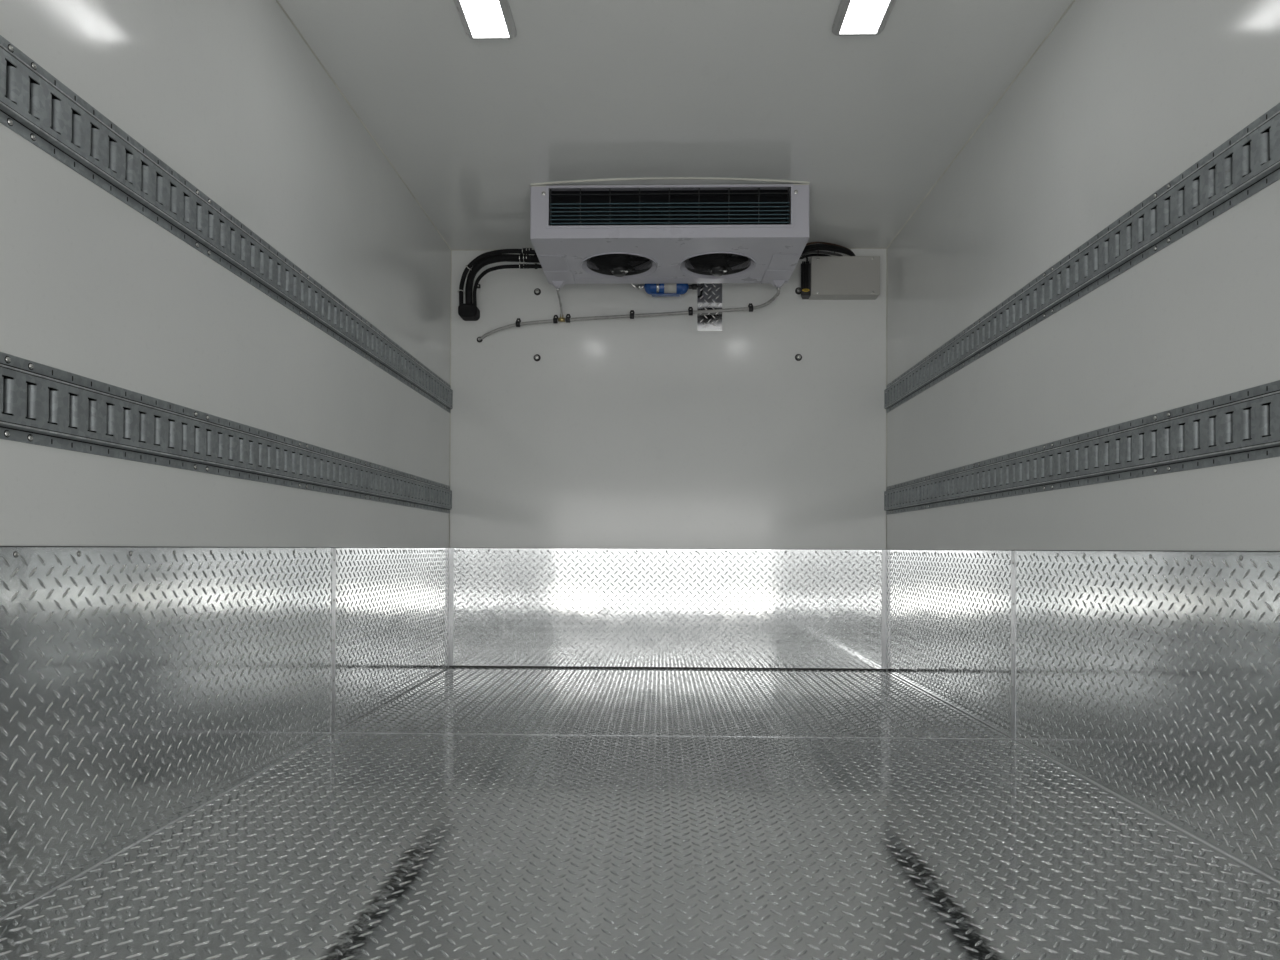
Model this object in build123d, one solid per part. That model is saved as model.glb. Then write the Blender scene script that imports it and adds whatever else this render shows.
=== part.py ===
from build123d import *
import math
import os

# Insulated body of a refrigerated truck: hollow box with evaporator, nose condenser and two rear doors.
# Frame: +Y travel direction, +X right hand side, +Z up, origin on the ground plane under the middle.
# All sizes in mm. "fw" = inner face of the front wall, "fl" = top of the tread floor.

# ---------------------------------------------------------------- driving sizes
IN_W = 2235.0            # inner width between the wall faces
IN_H = 2150.0            # tread floor to ceiling
IN_L = 4267.0            # inner face of the front wall to the rear plane
HALF = IN_W / 2
WALL_T = 98.5            # side wall sandwich
SKIN = 3.0               # aluminium extrusions stand this proud of the walls
OUT_X = HALF + WALL_T + SKIN      # 1219, half of the outer width
FRONT_T = 100.0          # front wall
ROOF_T = 100.0
FRAME_D = 101.4          # depth of the rear door frame
COND_D = 380.0           # nose condenser, ahead of the front wall
BUMP_D = 65.0            # dock bumpers, behind the rear plane

FW = (IN_L + BUMP_D + FRONT_T + COND_D) / 2 - FRONT_T - COND_D   # y of the front wall's inner face
REAR = FW - IN_L         # y of the rear plane
NOSE = FW + FRONT_T      # y of the front wall's outer face
PANEL_Y0 = REAR + FRAME_D

SILL_H = 127.0           # long sills stand on the ground
SILL_X = 432.0           # sill web from the centreline
CROSS_H = 76.0
BED = SILL_H + CROSS_H   # underside of the floor panel
FLOOR_T = 100.0
TREAD_T = 3.0
FL = BED + FLOOR_T + TREAD_T      # 306, top of the tread floor
CEIL = FL + IN_H
TOP = CEIL + ROOF_T + SKIN        # 2559

KICK_H = 612.0           # tread-plate lining above the floor
KICK_T = 3.0
SHEET_Y = FW - 1528.0    # seam of floor and kick sheets
SEAM = 1.0

TRACK_PITCH = 50.8
TRACK_H = 142.0
TRACK_BAND = 99.0        # flat face
TRACK_FOOT = 113.0       # where the sloping sides meet the flanges
TRACK_D = 13.0
TRACK_T = 2.7
SLOT_W, SLOT_H = 12.7, 61.0
TRACK_Z = {"upper": FL + 1378.0, "lower": FL + 861.0}
TRACK_RUNS = [           # (slots, y of the front end)
    (22, FW - 0.5),
    (60, FW - 22 * TRACK_PITCH - 1.0),
]

# rear doorway
DOOR_T = 90.0
DOOR_GAP = 12.0
HEAD_Z = 2340.0          # underside of the header
PIN_X = 1228.0           # hinge pin from the centreline
PIN_Y = REAR - 50.0
PIN_R = 6.0
BORE_R = 6.05
HINGE_Z = [500.0, 1040.0, 1640.0, 2180.0]
ROD_X = 120.0            # lock rod from the centreline, door closed
ROD_R = 12.0
ROD_Y = -23.0            # from the rear plane

# evaporator on the ceiling
EV_HW = 588.0
EV_Y0, EV_Y1 = FW - 765.0, FW - 163.0
EV_Z0, EV_Z1 = FL + 1921.0, FL + 2146.0
EV_FAN_X, EV_FAN_Y = 227.0, FW - 420.0
EV_RING_R, EV_OPEN_R, EV_ROTOR_R, EV_BELL_H = 179.0, 151.0, 142.0, 20.0

# nose condenser
CO_HW = 700.0
CO_Z0, CO_Z1 = 1850.0, 2350.0
CO_FAN_X, CO_FAN_Z = 330.0, 2095.0
CO_OPEN_R, CO_ROTOR_R = 176.0, 164.0
BOLT_X = 669.0
BOLT_Z = [FL + 1592.0, FL + 1932.0]

os.makedirs("parts", exist_ok=True)


# ---------------------------------------------------------------- helpers
def bx(x0, x1, y0, y1, z0, z1):
    return Pos((x0 + x1) / 2, (y0 + y1) / 2, (z0 + z1) / 2) * Box(abs(x1 - x0), abs(y1 - y0), abs(z1 - z0))


def cyl(p, r, h, axis="Z"):
    turn = {"Z": Rot(0, 0, 0), "X": Rot(0, 90, 0), "Y": Rot(-90, 0, 0)}[axis]
    return Pos(*p) * turn * Cylinder(r, h, align=(Align.CENTER, Align.CENTER, Align.MIN))


def prism_y(points, y0, y1):
    # outline in x, z pushed along y
    wire = Polyline(*[(x, y0, z) for x, z in points], close=True)
    return extrude(make_face(wire), amount=y1 - y0, dir=(0, 1, 0))


def prism_x(points, x0, x1):
    # outline in y, z pushed along x
    wire = Polyline(*[(x0, y, z) for y, z in points], close=True)
    return extrude(make_face(wire), amount=x1 - x0, dir=(1, 0, 0))


def prism_z(points, z0, z1):
    # outline in x, y pushed along z
    wire = Polyline(*[(x, y, z0) for x, y in points], close=True)
    return extrude(make_face(wire), amount=z1 - z0, dir=(0, 0, 1))


def flip(shape):
    return mirror(shape, about=Plane.YZ)


def both(shape):
    return [shape, flip(shape)]


def solids(items):
    out = []
    for s in items:
        out += list(s.solids())
    return out


def save(name, items):
    parts = solids(items if isinstance(items, (list, tuple)) else [items])
    export_step(parts[0] if len(parts) == 1 else Compound(children=parts), f"parts/{name}.step")


def pick_z(shape, x, y, tol=1.0):
    # vertical edges at x, y
    return [e for e in shape.edges().filter_by(Axis.Z)
            if abs(e.center().X - x) < tol and abs(e.center().Y - y) < tol]


def tube(points, r, label):
    radii = []
    for a, b, c in zip(points, points[1:], points[2:]):
        va, vb, vc = Vector(*a), Vector(*b), Vector(*c)
        turn = math.radians((vb - va).get_angle(vc - vb))
        radii.append(0.45 * min((vb - va).length, (vc - vb).length) / math.tan(turn / 2))
    path = FilletPolyline(*points, radius=radii)
    start = Vector(*points[1]) - Vector(*points[0])
    section = Plane(origin=points[0], z_dir=start) * Circle(r)
    solid = sweep(section, path=path)
    want = math.pi * r * r * path.length
    print(label, "radii", [round(v) for v in radii], "volume ratio", round(solid.volume / want, 4))
    return solid


# ---------------------------------------------------------------- underframe
sill = bx(SILL_X - 3, SILL_X + 3, PANEL_Y0, NOSE - 2, 0, SILL_H)
sill += bx(SILL_X - 50, SILL_X + 3, PANEL_Y0, NOSE - 2, 0, 8)
sill += bx(SILL_X - 50, SILL_X + 3, PANEL_Y0, NOSE - 2, SILL_H - 8, SILL_H)
BRACKET_Y = [FW - 420.0, FW - 2020.0, FW - 3620.0]
BRACKET_HOLE_X = SILL_X + 43.0
BRACKET_PITCH = 100.0
BRACKET_HOLE_R = 8.5
save("long_sills", both(sill))
brackets = []
for y in BRACKET_Y:
    b = bx(SILL_X + 3, SILL_X + 73, y - 80, y + 80, 0, 10)
    b += bx(SILL_X + 3, SILL_X + 11, y - 80, y + 80, 10, 100)
    for dy in (-BRACKET_PITCH / 2, BRACKET_PITCH / 2):
        b -= cyl((BRACKET_HOLE_X, y + dy, -1), BRACKET_HOLE_R, 12)
    brackets += both(b)
save("mount_brackets", brackets)

CROSS_N, CROSS_STEP = 14, 305.0
cross = []
for i in range(CROSS_N):
    y = FW - 60 - i * CROSS_STEP
    z0, z1 = SILL_H, BED
    c = prism_x([(y - 20, z0), (y + 20, z0), (y + 20, z0 + 5), (y - 15, z0 + 5), (y - 15, z1 - 5),
                 (y + 20, z1 - 5), (y + 20, z1), (y - 20, z1)], -1110, 1110)
    cross.append(c)
save("crossmembers", cross)

# ---------------------------------------------------------------- sandwich panels
save("floor_panel", bx(-HALF, HALF, PANEL_Y0, FW, BED, FL - TREAD_T))
save("floor_plates", [
    bx(-HALF, HALF, REAR + 12, SHEET_Y - SEAM / 2, FL - TREAD_T, FL),
    bx(-HALF, HALF, SHEET_Y + SEAM / 2, FW, FL - TREAD_T, FL),
])
wall = bx(HALF, HALF + WALL_T, PANEL_Y0, FW, BED, CEIL)
save("right_wall", wall)
save("left_wall", flip(wall))
front = bx(-HALF, HALF, FW, NOSE, BED, CEIL)
for x in (-BOLT_X, BOLT_X):
    for z in BOLT_Z:
        front -= cyl((x, FW - 1, z), 6.5, FRONT_T + 2, "Y")
save("front_wall", front)
save("roof_panel", bx(-HALF, HALF, PANEL_Y0, FW, CEIL, CEIL + ROOF_T))

# ---------------------------------------------------------------- rails, posts and rear frame
EDGE_R = 45.0
rail = bx(HALF, OUT_X, PANEL_Y0, FW - SEAM, CEIL, TOP)
rail = fillet([e for e in rail.edges().filter_by(Axis.Y) if e.center().X > OUT_X - 1 and e.center().Z > TOP - 1], EDGE_R)
front_rail = bx(-HALF + SEAM, HALF - SEAM, FW, NOSE + SKIN, CEIL, TOP)
front_rail = fillet([e for e in front_rail.edges().filter_by(Axis.X) if e.center().Y > NOSE and e.center().Z > TOP - 1], EDGE_R)
save("roof_rails", both(rail) + [front_rail])

post = bx(HALF, OUT_X, FW, NOSE + SKIN, SILL_H, TOP)
post = fillet(pick_z(post, OUT_X, NOSE + SKIN), EDGE_R)
post = fillet([e for e in post.edges() if e.center().Z > TOP - 1 and (e.center().X > OUT_X - 40 or e.center().Y > NOSE - 30)
               and not (abs(e.center().X - HALF) < 1 or abs(e.center().Y - FW) < 1)], EDGE_R - 8)
save("front_corner_posts", both(post))

skirt = bx(HALF, OUT_X, PANEL_Y0, FW, SILL_H, BED) - bx(HALF - 1, OUT_X - 5, PANEL_Y0 - 1, FW + 1, SILL_H + 5, BED - 5)
skirt += bx(OUT_X - SKIN, OUT_X, PANEL_Y0, FW, BED, BED + 87)
front_sk = bx(-HALF + SEAM, HALF - SEAM, FW, NOSE + SKIN, SILL_H, BED) - bx(-HALF, HALF, FW - 1, NOSE - 2, SILL_H + 5, BED - 5)
front_sk += bx(-HALF + SEAM, HALF - SEAM, NOSE, NOSE + SKIN, BED, BED + 87)
save("bottom_rails", both(skirt) + [front_sk])

rear_post = bx(HALF, OUT_X, REAR, PANEL_Y0, SILL_H, TOP)
rear_post = fillet([e for e in rear_post.edges().filter_by(Axis.Y) if e.center().X > OUT_X - 1 and e.center().Z > TOP - 1], EDGE_R)
save("rear_posts", both(rear_post))
save("rear_header", bx(-HALF, HALF, REAR, PANEL_Y0, HEAD_Z, TOP))
sill_beam = bx(-HALF, HALF, REAR, PANEL_Y0, SILL_H, FL) - bx(-HALF - 1, HALF + 1, REAR + 12, PANEL_Y0 + 1, FL - TREAD_T, FL + 1)
sill_beam -= bx(-HALF - 1, HALF + 1, REAR + 8, PANEL_Y0 + 1, SILL_H + 8, BED - 8)
save("rear_sill", sill_beam)
BUMP_X, BUMP_W = 690.0, 150.0
bump = bx(BUMP_X - BUMP_W / 2, BUMP_X + BUMP_W / 2, REAR - BUMP_D, REAR, SILL_H + 8, FL - 16)
bump = fillet(bump.faces().sort_by(Axis.Y)[0].edges(), 12)
save("dock_bumpers", both(bump))

# ---------------------------------------------------------------- tread-plate lining
kicks = []
side_kick_rear = bx(HALF - KICK_T, HALF, PANEL_Y0, SHEET_Y - SEAM / 2, FL, FL + KICK_H)
side_kick_front = bx(HALF - KICK_T, HALF, SHEET_Y + SEAM / 2, FW - KICK_T - SEAM, FL, FL + KICK_H)
save("side_kick_plates", both(side_kick_rear) + both(side_kick_front))
save("front_kick_plate", bx(-HALF + SEAM, HALF - SEAM, FW - KICK_T, FW, FL, FL + KICK_H))
save("cover_strip", bx(153, 279, FW - 4, FW, FL + 1728, CEIL))


# ---------------------------------------------------------------- cargo tracks
def track(slots, y1, z):
    # hat section on the right hand wall, slots punched through its face
    length = slots * TRACK_PITCH
    yc = y1 - length / 2
    xw = HALF
    face = Rectangle(length, TRACK_BAND)
    for k in range(slots):
        face -= Pos(length / 2 - (k + 0.5) * TRACK_PITCH, 0) * RectangleRounded(SLOT_W, SLOT_H, 3.0)
    plane = Plane(origin=(xw - TRACK_D, yc, z), x_dir=(0, 1, 0), z_dir=(1, 0, 0))
    body = extrude(plane * face, amount=TRACK_T)
    x0 = xw - TRACK_D
    for s in (-1, 1):
        a, b, c = z + s * TRACK_BAND / 2, z + s * TRACK_FOOT / 2, z + s * TRACK_H / 2
        edge = [(x0, a), (xw - TRACK_T, b), (xw - TRACK_T, c), (xw, c), (xw, b - s * 0.6), (x0 + TRACK_T, a - s * 0.6), (x0 + TRACK_T, a - s * 1.5), (x0, a - s * 1.5)]
        body += prism_y(edge, y1 - length, y1)
    return body


right_tracks = [track(n, y1, z) for z in TRACK_Z.values() for n, y1 in TRACK_RUNS]
save("cargo_tracks_right", right_tracks)
save("cargo_tracks_left", [flip(t) for t in right_tracks])

# ---------------------------------------------------------------- ceiling lights
LIGHT_X, LIGHT_Y1 = 541.0, FW - 1788.0
LIGHT_L, LIGHT_W, LIGHT_D = 457.0, 150.0, 18.0
LENS_L, LENS_W = 413.0, 107.0
lc = LIGHT_Y1 - LIGHT_L / 2
bezel = bx(LIGHT_X - LIGHT_W / 2, LIGHT_X + LIGHT_W / 2, lc - LIGHT_L / 2, lc + LIGHT_L / 2, CEIL - LIGHT_D, CEIL)
bezel = fillet(bezel.edges().filter_by(Axis.Z), 22)
bezel = chamfer(bezel.faces().sort_by(Axis.Z)[0].edges(), 8)
bezel -= bx(LIGHT_X - LENS_W / 2, LIGHT_X + LENS_W / 2, lc - LENS_L / 2, lc + LENS_L / 2, CEIL - LIGHT_D - 1, CEIL - 5)
lens = bx(LIGHT_X - LENS_W / 2, LIGHT_X + LENS_W / 2, lc - LENS_L / 2, lc + LENS_L / 2, CEIL - LIGHT_D - 2, CEIL - 5)
lens = fillet(lens.faces().sort_by(Axis.Z)[0].edges(), 2)
save("ceiling_light_frames", both(bezel))
save("ceiling_light_lenses", both(lens))


# ---------------------------------------------------------------- fans
def rotor(r, hub_r, hub_h, blades, pitch, chord, rake=18):
    # about +Z, hub from z=0 to hub_h
    body = fillet((Pos(0, 0, hub_h / 2) * Cylinder(hub_r, hub_h)).edges().sort_by(Axis.Z)[0], 6)
    blade = Pos((hub_r + r) / 2 - 3, 0, 0) * Rot(pitch, 0, 0) * Box(r - hub_r + 16, chord, 3)
    blade = blade & Cylinder(r, 200)
    for k in range(blades):
        body += Pos(0, 0, hub_h / 2) * Rot(0, 0, k * 360 / blades) * blade
    return body


ev_rotor = rotor(EV_ROTOR_R, 44, 34, 5, 28, 96)
for name, x in (("evaporator_fan_left", -EV_FAN_X), ("evaporator_fan_right", EV_FAN_X)):
    save(name, Pos(x, EV_FAN_Y, EV_Z0 + 14) * ev_rotor)

# ---------------------------------------------------------------- evaporator
T = 2.5
GR_HX, GR_Z0, GR_Z1 = 509.0, FL + 1975.0, FL + 2134.0
ev = bx(-EV_HW, EV_HW, EV_Y0, EV_Y1, EV_Z0, EV_Z1)
ev = fillet(ev.edges().filter_by(Axis.Z), 8)
ev -= bx(-EV_HW + T, EV_HW - T, EV_Y0 + T, EV_Y1 - T, EV_Z0 + T, EV_Z1 - T)
ev -= bx(-GR_HX, GR_HX, EV_Y0 - 1, EV_Y0 + T + 1, GR_Z0, GR_Z1)
for x in (-EV_FAN_X, EV_FAN_X):
    c = (x, EV_FAN_Y)
    ev -= cyl((*c, EV_Z0 - 10), EV_RING_R - 1, 20)
    # bell mouth: wide at the underside, narrowing to the fan's bore
    ring = cyl((*c, EV_Z0 - 5), EV_RING_R, 9)
    ring = fillet(ring.edges().sort_by(Axis.Z)[0], 3)
    ring += Pos(*c, EV_Z0 + 4 + EV_BELL_H / 2) * Cone(EV_RING_R, EV_OPEN_R + 6, EV_BELL_H)
    ring += cyl((*c, EV_Z0 + 4), EV_OPEN_R + 4, 42)
    ring -= cyl((*c, EV_Z0 - 6), EV_OPEN_R, 60)
    ring -= Pos(*c, EV_Z0 - 5 + 4) * Cone(EV_RING_R - 4, EV_RING_R - 10, 8)
    ring -= Pos(*c, EV_Z0 + 3 + EV_BELL_H / 2) * Cone(EV_RING_R - 10, EV_OPEN_R, EV_BELL_H)
    ev += ring
    ev += cyl((*c, EV_Z0 + 54), 46, 70)
    for k in range(3):
        arm = Pos(c[0], c[1], EV_Z0 + 58) * Rot(0, 0, 90 + 120 * k) * Pos(98, 0, 0) * Box(112, 12, 6)
        ev += arm
        tab = Pos(c[0], c[1], EV_Z0 + 49) * Rot(0, 0, 90 + 120 * k) * Pos(EV_OPEN_R + 1, 0, 0) * Box(5, 12, 24)
        ev += tab
# drain spouts under the rear corners
for s in (-1, 1):
    sp = loft([Plane(origin=(s * 538, EV_Y1 - 34, EV_Z0 + 1)) * Rectangle(76, 62),
               Plane(origin=(s * 540, EV_Y1 - 24, EV_Z0 - 24)) * Rectangle(26, 26)])
    ev += sp
    ev += cyl((s * 540, EV_Y1 - 24, EV_Z0 - 34), 7, 11)
for s in (-1, 1):
    ev += bx(s * 480 - 30, s * 480 + 30, EV_Y0 + 60, EV_Y1 - 60, EV_Z1 - T, CEIL)
save("evaporator_housing", ev)
grille = []
for level in (2109.0, 2068.0, 2051.5, 2035.0, 2018.5, 2002.0, 1985.5):
    z = FL + level
    grille.append(bx(-GR_HX + 4, GR_HX - 4, EV_Y0 + 4, EV_Y0 + 16, z - 1.5, z + 1.5))
gr = grille[0]
for g in grille[1:]:
    gr += g
for k in range(9):
    x = -GR_HX + 6 + k * (2 * GR_HX - 12) / 8
    gr += bx(x - 2, x + 2, EV_Y0 + 6, EV_Y0 + 18, GR_Z0 + 1, GR_Z1 - 1)
save("evaporator_grille", gr)
save("evaporator_coil", bx(-500, 500, EV_Y0 + 30, EV_Y0 + 130, EV_Z0 + 20, EV_Z1 - 12))

# ---------------------------------------------------------------- hoses, drain, cable (all held along their whole run)
# way points: x, y from the front wall, z above the floor
HOSES = [                # (label, radius, [(x, y, z), ...])
    ("hose_upper", 11.0, [(-588, -222, 2058), (-660, -222, 2058), (-740, -216, 2066), (-830, -206, 2066), (-918, -190, 2052),
                          (-1000, -158, 2000), (-1036, -112, 1930), (-1046, -72, 1880), (-1046, -66, 1840)]),
    ("hose_thick", 18.0, [(-588, -184, 2037), (-670, -184, 2037), (-743, -180, 2044), (-828, -171, 2049), (-922, -153, 2034),
                          (-981, -122, 1990), (-1003, -90, 1930), (-1008, -66, 1875), (-1008, -60, 1840)]),
    ("hose_thin", 9.0, [(-588, -215, 1990), (-670, -215, 1990), (-738, -206, 1994), (-826, -186, 1998), (-900, -160, 1988),
                        (-951, -126, 1955), (-974, -92, 1910), (-978, -66, 1872), (-978, -60, 1840)]),
]


def world(p):
    return (p[0], FW + p[1], FL + p[2])


boot = bx(-1061, -965, FW - 84, FW, FL + 1783, FL + 1851)
boot = fillet(boot.edges().filter_by(Axis.Y), 24)
boot = fillet(boot.faces().sort_by(Axis.Y)[0].edges(), 12)
save("hose_boot", boot)
save("refrigerant_hoses", [tube([world(p) for p in pts], r, n) - boot for n, r, pts in HOSES])

DRAIN_Y = -20.0
SPOUT_X, SPOUT_Y, SPOUT_Z = 540.0, EV_Y1 - 24 - FW, 1887.0
MAIN = [(SPOUT_X, SPOUT_Y, SPOUT_Z), (SPOUT_X, SPOUT_Y + 1, 1864), (522, -125, 1851), (484, -62, 1839), (428, -24, 1835),
        (118, DRAIN_Y, 1818), (-181, DRAIN_Y, 1800.5), (-541, DRAIN_Y, 1781), (-771, DRAIN_Y, 1760), (-868, DRAIN_Y, 1733),
        (-935, DRAIN_Y + 4, 1704), (-966, 6, 1686)]
RISER = [(-SPOUT_X, SPOUT_Y, SPOUT_Z), (-SPOUT_X, SPOUT_Y + 2, 1868), (-539, -120, 1856), (-539, -62, 1836), (-540, -28, 1808), (-541, DRAIN_Y, 1784)]
front_face = bx(-HALF, HALF, FW, FW + 50, FL + 1500, CEIL)
drain_main = tube([world(p) for p in MAIN], 8.0, "drain_main") - front_face
riser = tube([world(p) for p in RISER], 5.0, "drain_riser")
drain = drain_main + riser - ev
save("drain_tube", drain)
CLIPS = [(-765, 1760.5), (-573, 1778), (-509, 1782.5), (-181, 1800.8), (118, 1817.6), (424, 1834.2)]   # (x, z above floor)
clips = []
for x, z in CLIPS:
    y0 = FW + (DRAIN_Y if x < 400 else -26)
    zc = FL + z
    band = cyl((x - 8, y0, zc), 12, 16, "X") - cyl((x - 9, y0, zc), 9.8, 18, "X")
    band += bx(x - 8, x + 8, FW - 4, FW, zc + 6, zc + 34)
    band += bx(x - 8, x + 8, y0 + 3, FW, zc + 10.2, zc + 13)
    clips.append(band - drain)
save("drain_clips", clips)

BOX = (718.0, 1061.0, FL + 1886, FL + 2081, 80.0)     # x0, x1, z0, z1, depth
cb = bx(BOX[0], BOX[1], FW - BOX[4], FW, BOX[2], BOX[3])
cb = fillet(cb.edges().filter_by(Axis.Y), 6)
save("control_box", cb)
# its left side slants in towards the wall and leaves the bolt beside it free
blk = prism_z([(668, FW - 66), (718, FW - 66), (718, FW), (689, FW)], FL + 1889, FL + 2050)
blk = chamfer(pick_z(blk, 668, FW - 66), 3)
for k in range(4):       # grooves up and down its face
    blk -= bx(675 + k * 9, 679 + k * 9, FW - 67, FW - 62, FL + 1932, FL + 2044)
save("control_side_block", blk)
CABLE = [(588, -222, 2056), (640, -220, 2062), (690, -196, 2086), (748, -158, 2104), (816, -118, 2112), (880, -84, 2112),
         (934, -58, 2097), (946, -46, 2036)]
cable = tube([world(p) for p in CABLE], 11.0, "control_cable")
save("control_cable", cable - cb - ev)

DR_R = 37.0
dr = cyl((-118, FW - 92, FL + 1926), DR_R, 222, "X")
dr = fillet(dr.edges().filter_by(GeomType.CIRCLE), 12)
dr += cyl((-150, FW - 92, FL + 1926), 8, 290, "X")
dr += bx(-80, -50, FW - 92, FW, FL + 1956, FL + 1960)
dr += bx(40, 70, FW - 92, FW, FL + 1956, FL + 1960)
save("filter_drier", dr)

# ---------------------------------------------------------------- nose condenser
CT = 4.0


def cond_outline(o):
    # y from the nose, z ; o = inset
    d = COND_D
    return [(NOSE + o, CO_Z0 + o), (NOSE + d - 70 - o * 0.4, CO_Z0 + o), (NOSE + d - o, CO_Z0 + 70 + o * 0.4),
            (NOSE + d - o, CO_Z1 - 90 - o * 0.4), (NOSE + d - 90 - o * 0.4, CO_Z1 - o), (NOSE + o, CO_Z1 - o)]


co = prism_x(cond_outline(0), -CO_HW, CO_HW) - prism_x(cond_outline(CT), -CO_HW + CT, CO_HW - CT)
for x in (-CO_FAN_X, CO_FAN_X):
    c = (x, NOSE + COND_D, CO_FAN_Z)
    co -= cyl((x, NOSE + COND_D - 10, CO_FAN_Z), CO_OPEN_R, 20, "Y")
    shroud = cyl((x, NOSE + COND_D - 70, CO_FAN_Z), CO_OPEN_R + 4, 68, "Y") - cyl((x, NOSE + COND_D - 71, CO_FAN_Z), CO_OPEN_R, 72, "Y")
    co += shroud
    co += cyl((x, NOSE + COND_D - 160, CO_FAN_Z), 52, 78, "Y")
    for k in range(3):
        co += Pos(x, NOSE + COND_D - 86, CO_FAN_Z) * Rot(0, 30 + 120 * k, 0) * Pos(112, 0, 0) * Box(136, 6, 14)
        co += Pos(x, NOSE + COND_D - 79, CO_FAN_Z) * Rot(0, 30 + 120 * k, 0) * Pos(CO_OPEN_R + 2, 0, 0) * Box(4, 20, 14)
for x in (-BOLT_X, BOLT_X):
    for z in BOLT_Z:
        co -= cyl((x, NOSE - 1, z), 6.5, 8, "Y")
for k in range(12):      # intake slots in both ends
    z = CO_Z0 + 110 + k * 25
    for s in (-1, 1):
        co -= bx(s * CO_HW - 6, s * CO_HW + 6, NOSE + 60, NOSE + 210, z, z + 11)
STUBS = [(-560.0, 9.5), (-500.0, 6.4)]       # x, radius of the hose stubs under the condenser
for x, r in STUBS:
    co += cyl((x, NOSE + 60, CO_Z0 - 45), r, 45 + CT / 2)
save("condenser_housing", co)
save("condenser_coil", bx(-620, 620, NOSE + 60, NOSE + 130, CO_Z0 + 30, CO_Z1 - 40))
co_rotor = rotor(CO_ROTOR_R, 50, 40, 5, 28, 112)
for name, x in (("condenser_fan_left", -CO_FAN_X), ("condenser_fan_right", CO_FAN_X)):
    save(name, Pos(x, NOSE + COND_D - 20, CO_FAN_Z) * Rot(90, 0, 0) * co_rotor)
bolts = []
for x in (-BOLT_X, BOLT_X):
    for z in BOLT_Z:
        b = cyl((x, FW - 10, z), 6, FRONT_T + 10 + CT + 16, "Y")
        b += cyl((x, FW - 3, z), 16, 3, "Y")
        hexa = extrude(Plane(origin=(x, FW - 11, z), z_dir=(0, 1, 0)) * RegularPolygon(11, 6), amount=8)
        nut = extrude(Plane(origin=(x, NOSE + CT, z), z_dir=(0, 1, 0)) * RegularPolygon(11, 6), amount=10)
        bolts.append(b + hexa + nut)
save("condenser_bolts", bolts)

# ---------------------------------------------------------------- rear doors, drawn closed on the right hand side
DZ0, DZ1 = FL + DOOR_GAP, HEAD_Z - DOOR_GAP
EDGE_IN, EDGE_BEVEL = 6.0, 7.0       # meeting edge from the centreline at the outer face, and its slope
HX = HALF - DOOR_GAP                 # hinge side edge


def meet(y):
    return EDGE_IN + EDGE_BEVEL * (y - REAR) / DOOR_T


leaf = prism_z([(meet(REAR), REAR), (HX, REAR), (HX, REAR + DOOR_T), (meet(REAR + DOOR_T), REAR + DOOR_T)], DZ0, DZ1)
GY0, GY1, GT = REAR + 12.0, REAR + 46.0, 3.0
gasket = prism_z([(meet(GY0) - GT, GY0), (HX + GT, GY0), (HX + GT, GY1), (meet(GY1) - GT, GY1)], DZ0 - GT, DZ1 + GT)
gasket -= prism_z([(meet(REAR), REAR), (HX, REAR), (HX, REAR + DOOR_T), (meet(REAR + DOOR_T), REAR + DOOR_T)], DZ0, DZ1)

STRAP_L, STRAP_H = 470.0, 50.0
straps = []
for z in HINGE_Z:
    z0, z1 = z - STRAP_H / 2, z + STRAP_H / 2
    s = cyl((PIN_X, PIN_Y, z0), 12, STRAP_H)
    s += bx(PIN_X - 4, PIN_X + 4, PIN_Y, REAR - 5, z0, z1)
    s += bx(PIN_X - STRAP_L, PIN_X + 4, REAR - 11, REAR - 5, z0, z1)
    s += bx(PIN_X - STRAP_L, HX - 4, REAR - 6, REAR, z0 + 3, z1 - 3)
    s -= cyl((PIN_X, PIN_Y, z0 - 1), BORE_R, STRAP_H + 2)
    straps.append(s)

RZ0, RZ1 = DZ0 - 56.0, DZ1 + 56.0
rod = cyl((ROD_X, REAR + ROD_Y, RZ0), ROD_R, RZ1 - RZ0)
for z in (RZ0, RZ1 - 46):
    rod += bx(ROD_X - 18, ROD_X + 18, REAR - 40, REAR - 8, z, z + 46)
for z in (DZ0 + 90, 900.0, 1420.0, DZ1 - 90):
    rod += bx(ROD_X - 20, ROD_X + 20, REAR - 37, REAR, z - 16, z + 16)
    rod += bx(ROD_X - 42, ROD_X + 42, REAR - 6, REAR, z - 16, z + 16)
rod += bx(ROD_X - 16, ROD_X + 16, REAR - 44, REAR - 10, 1180, 1240)
rod += bx(ROD_X, ROD_X + 360, REAR - 44, REAR - 34, 1196, 1224)
rod += bx(ROD_X + 306, ROD_X + 346, REAR - 35, REAR, 1186, 1234)

SWING = Axis((PIN_X, PIN_Y, 0), (0, 0, 1))
for side, turn in (("right", lambda s: s), ("left", flip)):
    save(f"{side}_door_panel", turn(leaf.rotate(SWING, 270)))
    save(f"{side}_door_gasket", turn(gasket.rotate(SWING, 270)))
    save(f"{side}_door_straps", [turn(s.rotate(SWING, 270)) for s in straps])
    save(f"{side}_door_lock_rod", turn(rod.rotate(SWING, 270)))

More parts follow.
